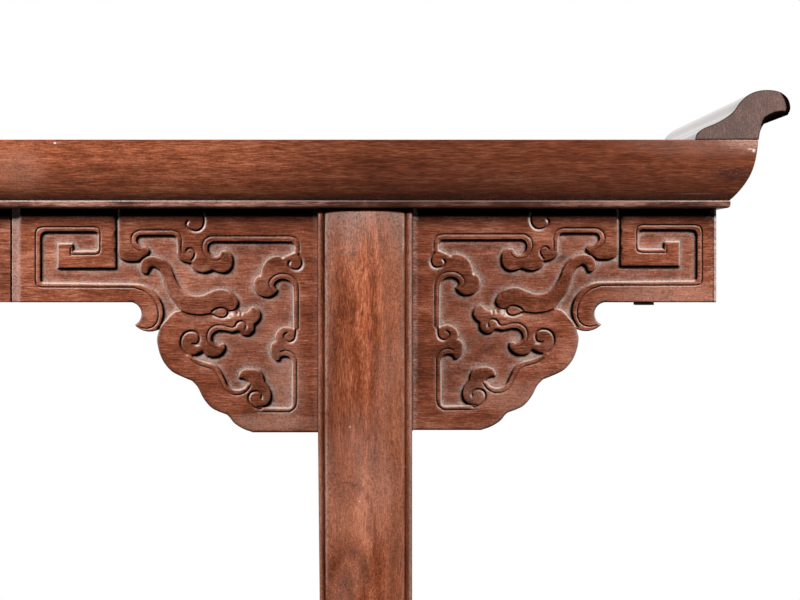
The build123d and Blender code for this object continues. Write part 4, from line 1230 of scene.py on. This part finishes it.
def carved_board(name, side_x, side_y, wings, material):
    """One carved board with both wings, its thin part through the leg and its tongue, at one corner."""
    mesh = bmesh.new()
    layers = [mesh.verts.layers.float.new(mark) for mark in MARKS]
    for way, (points, depth, triangles, shares) in zip((-1, 1), wings):
        made = [
            marked_vert(mesh, layers, (LEG_AXIS_X + way * reach, deep - BOARD_FACE_Y, height), marks)
            for (reach, height), deep, *marks in zip(points, depth, *shares)
        ]
        for corners in triangles:
            mesh.faces.new([made[i] for i in corners]).smooth = True
    rim = [edge for edge in mesh.edges if edge.is_boundary]
    drawn = bmesh.ops.extrude_edge_only(mesh, edges=rim)["geom"]
    for part in drawn:
        if isinstance(part, bmesh.types.BMVert):
            part.co.y = -BOARD_BACK_Y / 1000
            for layer in layers:
                part[layer] = 0.0
    back_rim = [part for part in drawn if isinstance(part, bmesh.types.BMEdge) and part.is_boundary]
    bmesh.ops.triangle_fill(mesh, use_beauty=True, edges=back_rim)
    mitre_point = Vector((LEG_AXIS_X + OUTER_REACH, -BOARD_FACE_Y, 0)) / 1000
    bmesh.ops.bisect_plane(
        mesh, geom=mesh.verts[:] + mesh.edges[:] + mesh.faces[:], plane_co=mitre_point,
        plane_no=Vector((1, 1, 0)), clear_outer=True, dist=1e-7,
    )
    bmesh.ops.triangle_fill(mesh, use_beauty=True, edges=[e for e in mesh.edges if e.is_boundary])
    square_block(mesh, (829, -206, BOARD_LOW_Z), (933, -192, BOARD_TOP_Z))
    square_block(mesh, (497, -204, BOARD_TOP_Z - 0.2), (1252, -196, BOARD_TOP_Z + 5))
    set_in_place(mesh, (side_x, -side_y, 1), hard_angle=40)
    return made_piece(name, mesh, material)


BOARD_BODY = tone(137, 73, 50)
BOARD_LIGHT = tone(166, 107, 85)
# The strip's painted shadow across the top of the boards, a warm one and a full one
BOARD_FILMS = ((tone(32, 8, 4), "Z", 0.821, 0.8345, 0.85), (SHADE_BLACK, "Z", 0.8325, 0.841, 1.0))
BOARD_MARKS = (
    ((1.208, -0.212, 0.754), (0.065, 0.1, 0.014), tone(214, 158, 138), 0.42),
    ((0.795, -0.212, 0.656), (0.02, 0.1, 0.045), tone(202, 150, 130), 0.42),
    ((0.772, -0.212, 0.615), (0.055, 0.1, 0.01), tone(206, 156, 136), 0.42),
    ((1.03, -0.212, 0.645), (0.05, 0.1, 0.016), tone(206, 152, 132), 0.4),
)
carved_wings = [carved_wing(False), carved_wing(True)]
for board_name, side_x, side_y, pith in (
    ("front_right", 1, -1, (0.15, 0.19, -0.62)),
    ("front_left", -1, -1, (0.75, 0.18, -0.6)),
    ("back_right", 1, 1, (0.35, -0.19, -0.63)),
    ("back_left", -1, 1, (-0.6, -0.18, -0.61)),
):
    wood = rosewood(
        f"{board_name}_carved_wood", "X", BOARD_BODY, BOARD_LIGHT, pith,
        shine=0.4, streak=0.5, mottle=1.1, ring_share=0.4, carved=True, films=BOARD_FILMS, blots=BOARD_MARKS,
    )
    carved = carved_board(f"{board_name}_carved_board", side_x, side_y, carved_wings, wood)
    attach(carved, "root")
    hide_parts(f"{board_name}_carved_apron")

# Everted flanges ---------------------------------------------------------------------------------
# A shaped length of wood is tenoned down onto each end of the top.  It runs across the table, so its
# end grain shows at front and back, with the arris worn round at the tip of the scroll.
FLANGE_SCROLL = [
    (1232.7, 920.0), (1234.9, 926.6), (1241.0, 931.4), (1257.2, 938.5), (1272.4, 948.7), (1282.6, 961.9),
    (1293.8, 969.9), (1308.1, 972.8), (1323.4, 970.5), (1331.9, 963.4), (1334.3, 952.8), (1331.5, 946.2),
    (1318.5, 944.8), (1308.0, 938.7), (1302.4, 930.0), (1300.4, 920.0),
]
FLANGE_CORNER = (1331.5, 946.2)
FLANGE_HALF_LENGTH = 250.0
TOP_Z = 920.0
TIP_ROUND = 6.8
FLANGE_STEP = 1.4
FLANGE_OPEN_STEP = 3.0
FLANGE_POINT_GAP = 0.6
# How far in from the worn end each ring of the long faces lies, in mm
FLANGE_RINGS = (1.5, 60.0, 200.0)


def flange_end():
    """The end of a flange: its points, how far wearing has rounded each back, triangles, outline count and
    its share of painted shade along the outline, over the rounded arris and at the foot.
    """
    corner = FLANGE_SCROLL.index(FLANGE_CORNER)
    scroll = np.vstack([smooth_run(FLANGE_SCROLL[: corner + 1])[:-1], smooth_run(FLANGE_SCROLL[corner:])])
    foot = evenly([FLANGE_SCROLL[-1], FLANGE_SCROLL[0]], FLANGE_STEP)[1:-1]
    loop = np.vstack([evenly(scroll, FLANGE_STEP), foot])
    out, up = loop.T
    tip = np.where(up > 955.0, soft_step((out - 1321.0) / 12.0), soft_step((out - 1302.0) / 8.0))
    arris = np.where(up > TOP_Z + 0.5, 1.0 + (TIP_ROUND - 1.0) * tip, 0.3)
    wanted = alongside([closed(loop)], FLANGE_STEP, (0.5, 1.1, 1.8, 2.7, 3.7, 4.7, 5.7, 6.8), (-1, 1))
    low, high = loop.min(0), loop.max(0)
    across = np.arange(low[0] + 2, high[0], FLANGE_OPEN_STEP)
    for height in np.arange(low[1] + 2, high[1], FLANGE_OPEN_STEP):
        wanted.append(np.column_stack([across, np.full(len(across), height)]))
    count = len(loop)
    points, triangles = joined_up(spaced(loop, np.vstack(wanted), FLANGE_POINT_GAP), count)
    rim = nearest(points, evenly(closed(loop), 0.3))[0]
    rim[:count] = 0
    radius = nearest(points, loop, (arris,))[1]
    gap = np.clip(rim / radius, 0, 1)
    worn_back = radius / (0.75 + 0.35 * radius) * (1 - np.sqrt(np.clip(1 - (1 - gap) ** 2, 0, 1)))
    # Painted shade along the end's outline and over its rounded arris, and a dark line where the flange sits
    # on the top
    grime_and_shade = np.maximum(bell(rim, 0.9), (radius > 1.3) * (1 - soft_step((rim - 0.68 * radius) / 0.7)))
    grime_and_shade = np.maximum(grime_and_shade, 0.95 * (1 - soft_step((points[:, 1] - TOP_Z - 0.2) / 0.7)))
    return points, worn_back, triangles, count, grime_and_shade


def flange_length(name, side_x, end, material):
    """A whole flange: its two ends, rounded back by wearing, the long shaped faces between them and its three
    tenons.
    """
    points, worn_back, triangles, count, grime_and_shade = end
    mesh = bmesh.new()
    layers = [mesh.verts.layers.float.new(mark) for mark in MARKS]
    ends = []
    for way in (-1, 1):
        made = [
            marked_vert(mesh, layers, (x, way * (FLANGE_HALF_LENGTH - back), z), (0, mark, 0))
            for (x, z), back, mark in zip(points, worn_back, grime_and_shade)
        ]
        for corners in triangles:
            mesh.faces.new([made[i] for i in corners]).smooth = True
        rows = [made[:count]]
        for number, inward in enumerate(FLANGE_RINGS):
            row = []
            for (x, z), back in zip(points[:count], worn_back):
                # Grime and painted shade: where the rounding runs deep below the scroll's top the long faces
                # stay dark all along, and the first ring is darker all round
                mark = 1.0 if back > 1.0 and z < 956.0 else 0.6 * (number == 0)
                spot = (x, way * (FLANGE_HALF_LENGTH - back - inward), z)
                row.append(marked_vert(mesh, layers, spot, (0, mark, 0)))
            rows.append(row)
        ends.append(rows)
    bands = ends[0] + ends[1][::-1]
    for first, second in zip(bands, bands[1:]):
        for i in range(count):
            j = (i + 1) % count
            mesh.faces.new((first[i], first[j], second[j], second[i])).smooth = True
    for middle_y in (-120, 0, 120):
        square_block(mesh, (1255, middle_y - 20, 890), (1269, middle_y + 20, TOP_Z + 0.2))
    set_in_place(mesh, (side_x, 1, 1), hard_angle=55, worked_stays=False)
    return made_piece(name, mesh, material)


FLANGE_BODY = tone(86, 52, 40)
FLANGE_LIGHT = tone(118, 85, 72)
flange_shape = flange_end()
for side, side_x in (("right", 1), ("left", -1)):
    wood = rosewood(
        f"{side}_flange_wood", "Y", FLANGE_BODY, FLANGE_LIGHT, (0.1, 1.25 * side_x, -0.9),
        shine=0.06, streak=0.3, mottle=0.7, ring_share=0.2, carved=True,
        end_lines=0.6, tooth=0.05, lustre=1.0,
    )
    flange = flange_length(f"{side}_everted_flange", side_x, flange_shape, wood)
    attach(flange, "root")
    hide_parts(f"{side}_flange")

# Studio ------------------------------------------------------------------------------------------
# The table stands on a round pale floor in a white room, with one long soft lamp before it and one
# behind.  A dark flag stands out from each leg, so that light doesn't cross from wing to wing.
FLOOR_RADIUS = 9.0
FLOOR_SHADE = (0.07, 0.07, 0.07, 1)
FLOOR_SEEN = (0.25, 0.25, 0.25, 1)
WHITE = (1, 1, 1, 1)


def seen_directly(tree):
    """One for rays from the camera, reflections and glass, and nought for light that only fills."""
    rays = wire(tree, "ShaderNodeLightPath").outputs
    seen = grey_math(tree, "MAXIMUM", rays["Is Camera Ray"], rays["Is Glossy Ray"])
    return grey_math(tree, "MAXIMUM", seen, rays["Is Transmission Ray"])


floor_paint = bpy.data.materials.new("pale_floor")
floor_paint.use_nodes = True
tree = floor_paint.node_tree
paint = tree.nodes["Principled BSDF"]
seen = seen_directly(tree)
plug(tree, paint.inputs["Roughness"], 0.7)
plug(tree, paint.inputs["Base Color"], blend_colour(tree, seen, FLOOR_SHADE, FLOOR_SEEN))
place = wire(tree, "ShaderNodeTexCoord").outputs["Object"]
distance = vector_math(tree, "LENGTH", mapped(tree, place, Scale=(0.5, 1.0, 0.0)))
far = ranged(tree, distance, 0.55, 1.7, 0.74, 1.0)
white = wire(tree, "ShaderNodeEmission", {"Color": WHITE, "Strength": 1.0})
mix = wire(
    tree,
    "ShaderNodeMixShader",
    {0: grey_math(tree, "MULTIPLY", seen, far), 1: paint.outputs[0], 2: white.outputs[0]},
)
tree.links.new(mix.outputs[0], tree.nodes["Material Output"].inputs["Surface"])
floor_mesh = bmesh.new()
bmesh.ops.create_circle(floor_mesh, cap_ends=True, segments=96, radius=FLOOR_RADIUS)
floor = made_piece("floor", floor_mesh, floor_paint)

world = bpy.data.worlds.new("studio")
bpy.context.scene.world = world
world.use_nodes = True
backdrop = world.node_tree.nodes["Background"]
strength = ranged(world.node_tree, seen_directly(world.node_tree), 0.0, 1.0, 0.02, 1.0)
plug(world.node_tree, backdrop.inputs["Strength"], strength)
plug(world.node_tree, backdrop.inputs["Color"], WHITE)

LAMP_DISTANCE = 1.75
LAMP_HEIGHT = 2.15
LAMP_SIZE = (6.4, 0.2)
LAMP_POWER = 190
# A flag's corners as distance from the table's middle line and height: one edge follows the strip's nose
FLAG_CORNERS = (
    (0.25, 0.5), (0.75, 0.5), (0.75, 1.3), (0.2505, 1.3), (0.2505, 0.92), (0.2262, 0.856), (0.25, 0.845),
)
flag_cloth = bpy.data.materials.new("flag_cloth")
flag_cloth.use_nodes = True
flag_cloth.node_tree.nodes["Principled BSDF"].inputs["Base Color"].default_value = (0.01, 0.01, 0.01, 1)


def soft_lamp(name, place, aim):
    """A long soft box that shines on a point and isn't seen itself."""
    data = bpy.data.lights.new(name, "AREA")
    data.shape = "RECTANGLE"
    data.size, data.size_y = LAMP_SIZE
    data.energy = LAMP_POWER
    lamp = bpy.data.objects.new(name, data)
    lamp.location = place
    lamp.rotation_mode = "QUATERNION"
    lamp.rotation_quaternion = (Vector(aim) - Vector(place)).to_track_quat("-Z", "Y")
    lamp.visible_camera = lamp.visible_glossy = False
    bpy.context.scene.collection.objects.link(lamp)


for side_y, lamp_side in ((-1, "front"), (1, "back")):
    soft_lamp(f"{lamp_side}_lamp", (0.0, LAMP_DISTANCE * side_y, LAMP_HEIGHT), (0.0, 0.2 * side_y, 0.8))
    for side_x, end_side in ((-1, "left"), (1, "right")):
        card_mesh = bmesh.new()
        stand = side_x * LEG_AXIS_X / 1000
        card_mesh.faces.new([card_mesh.verts.new((stand, y * side_y, z)) for y, z in FLAG_CORNERS])
        card = made_piece(f"{end_side}_{lamp_side}_flag", card_mesh, flag_cloth)
        card.visible_camera = card.visible_glossy = card.visible_transmission = False

FOCAL_PIXELS = 1786.0
PICTURE_WIDTH = 800.0
SENSOR_WIDTH = 36.0
SHIFT_PIXELS = (15.0, -32.0)
camera_data = bpy.data.cameras.new("camera")
camera_data.sensor_width = SENSOR_WIDTH
camera_data.lens = FOCAL_PIXELS * SENSOR_WIDTH / PICTURE_WIDTH
camera_data.shift_x, camera_data.shift_y = (pixels / PICTURE_WIDTH for pixels in SHIFT_PIXELS)
camera_data.clip_start = 0.05
camera = bpy.data.objects.new("camera", camera_data)
camera.location = (0.9026, -2.15, 0.7833)
camera.rotation_euler = (math.pi / 2, 0, 0)
bpy.context.scene.collection.objects.link(camera)
bpy.context.scene.camera = camera
bpy.context.scene.view_settings.view_transform = "Standard"
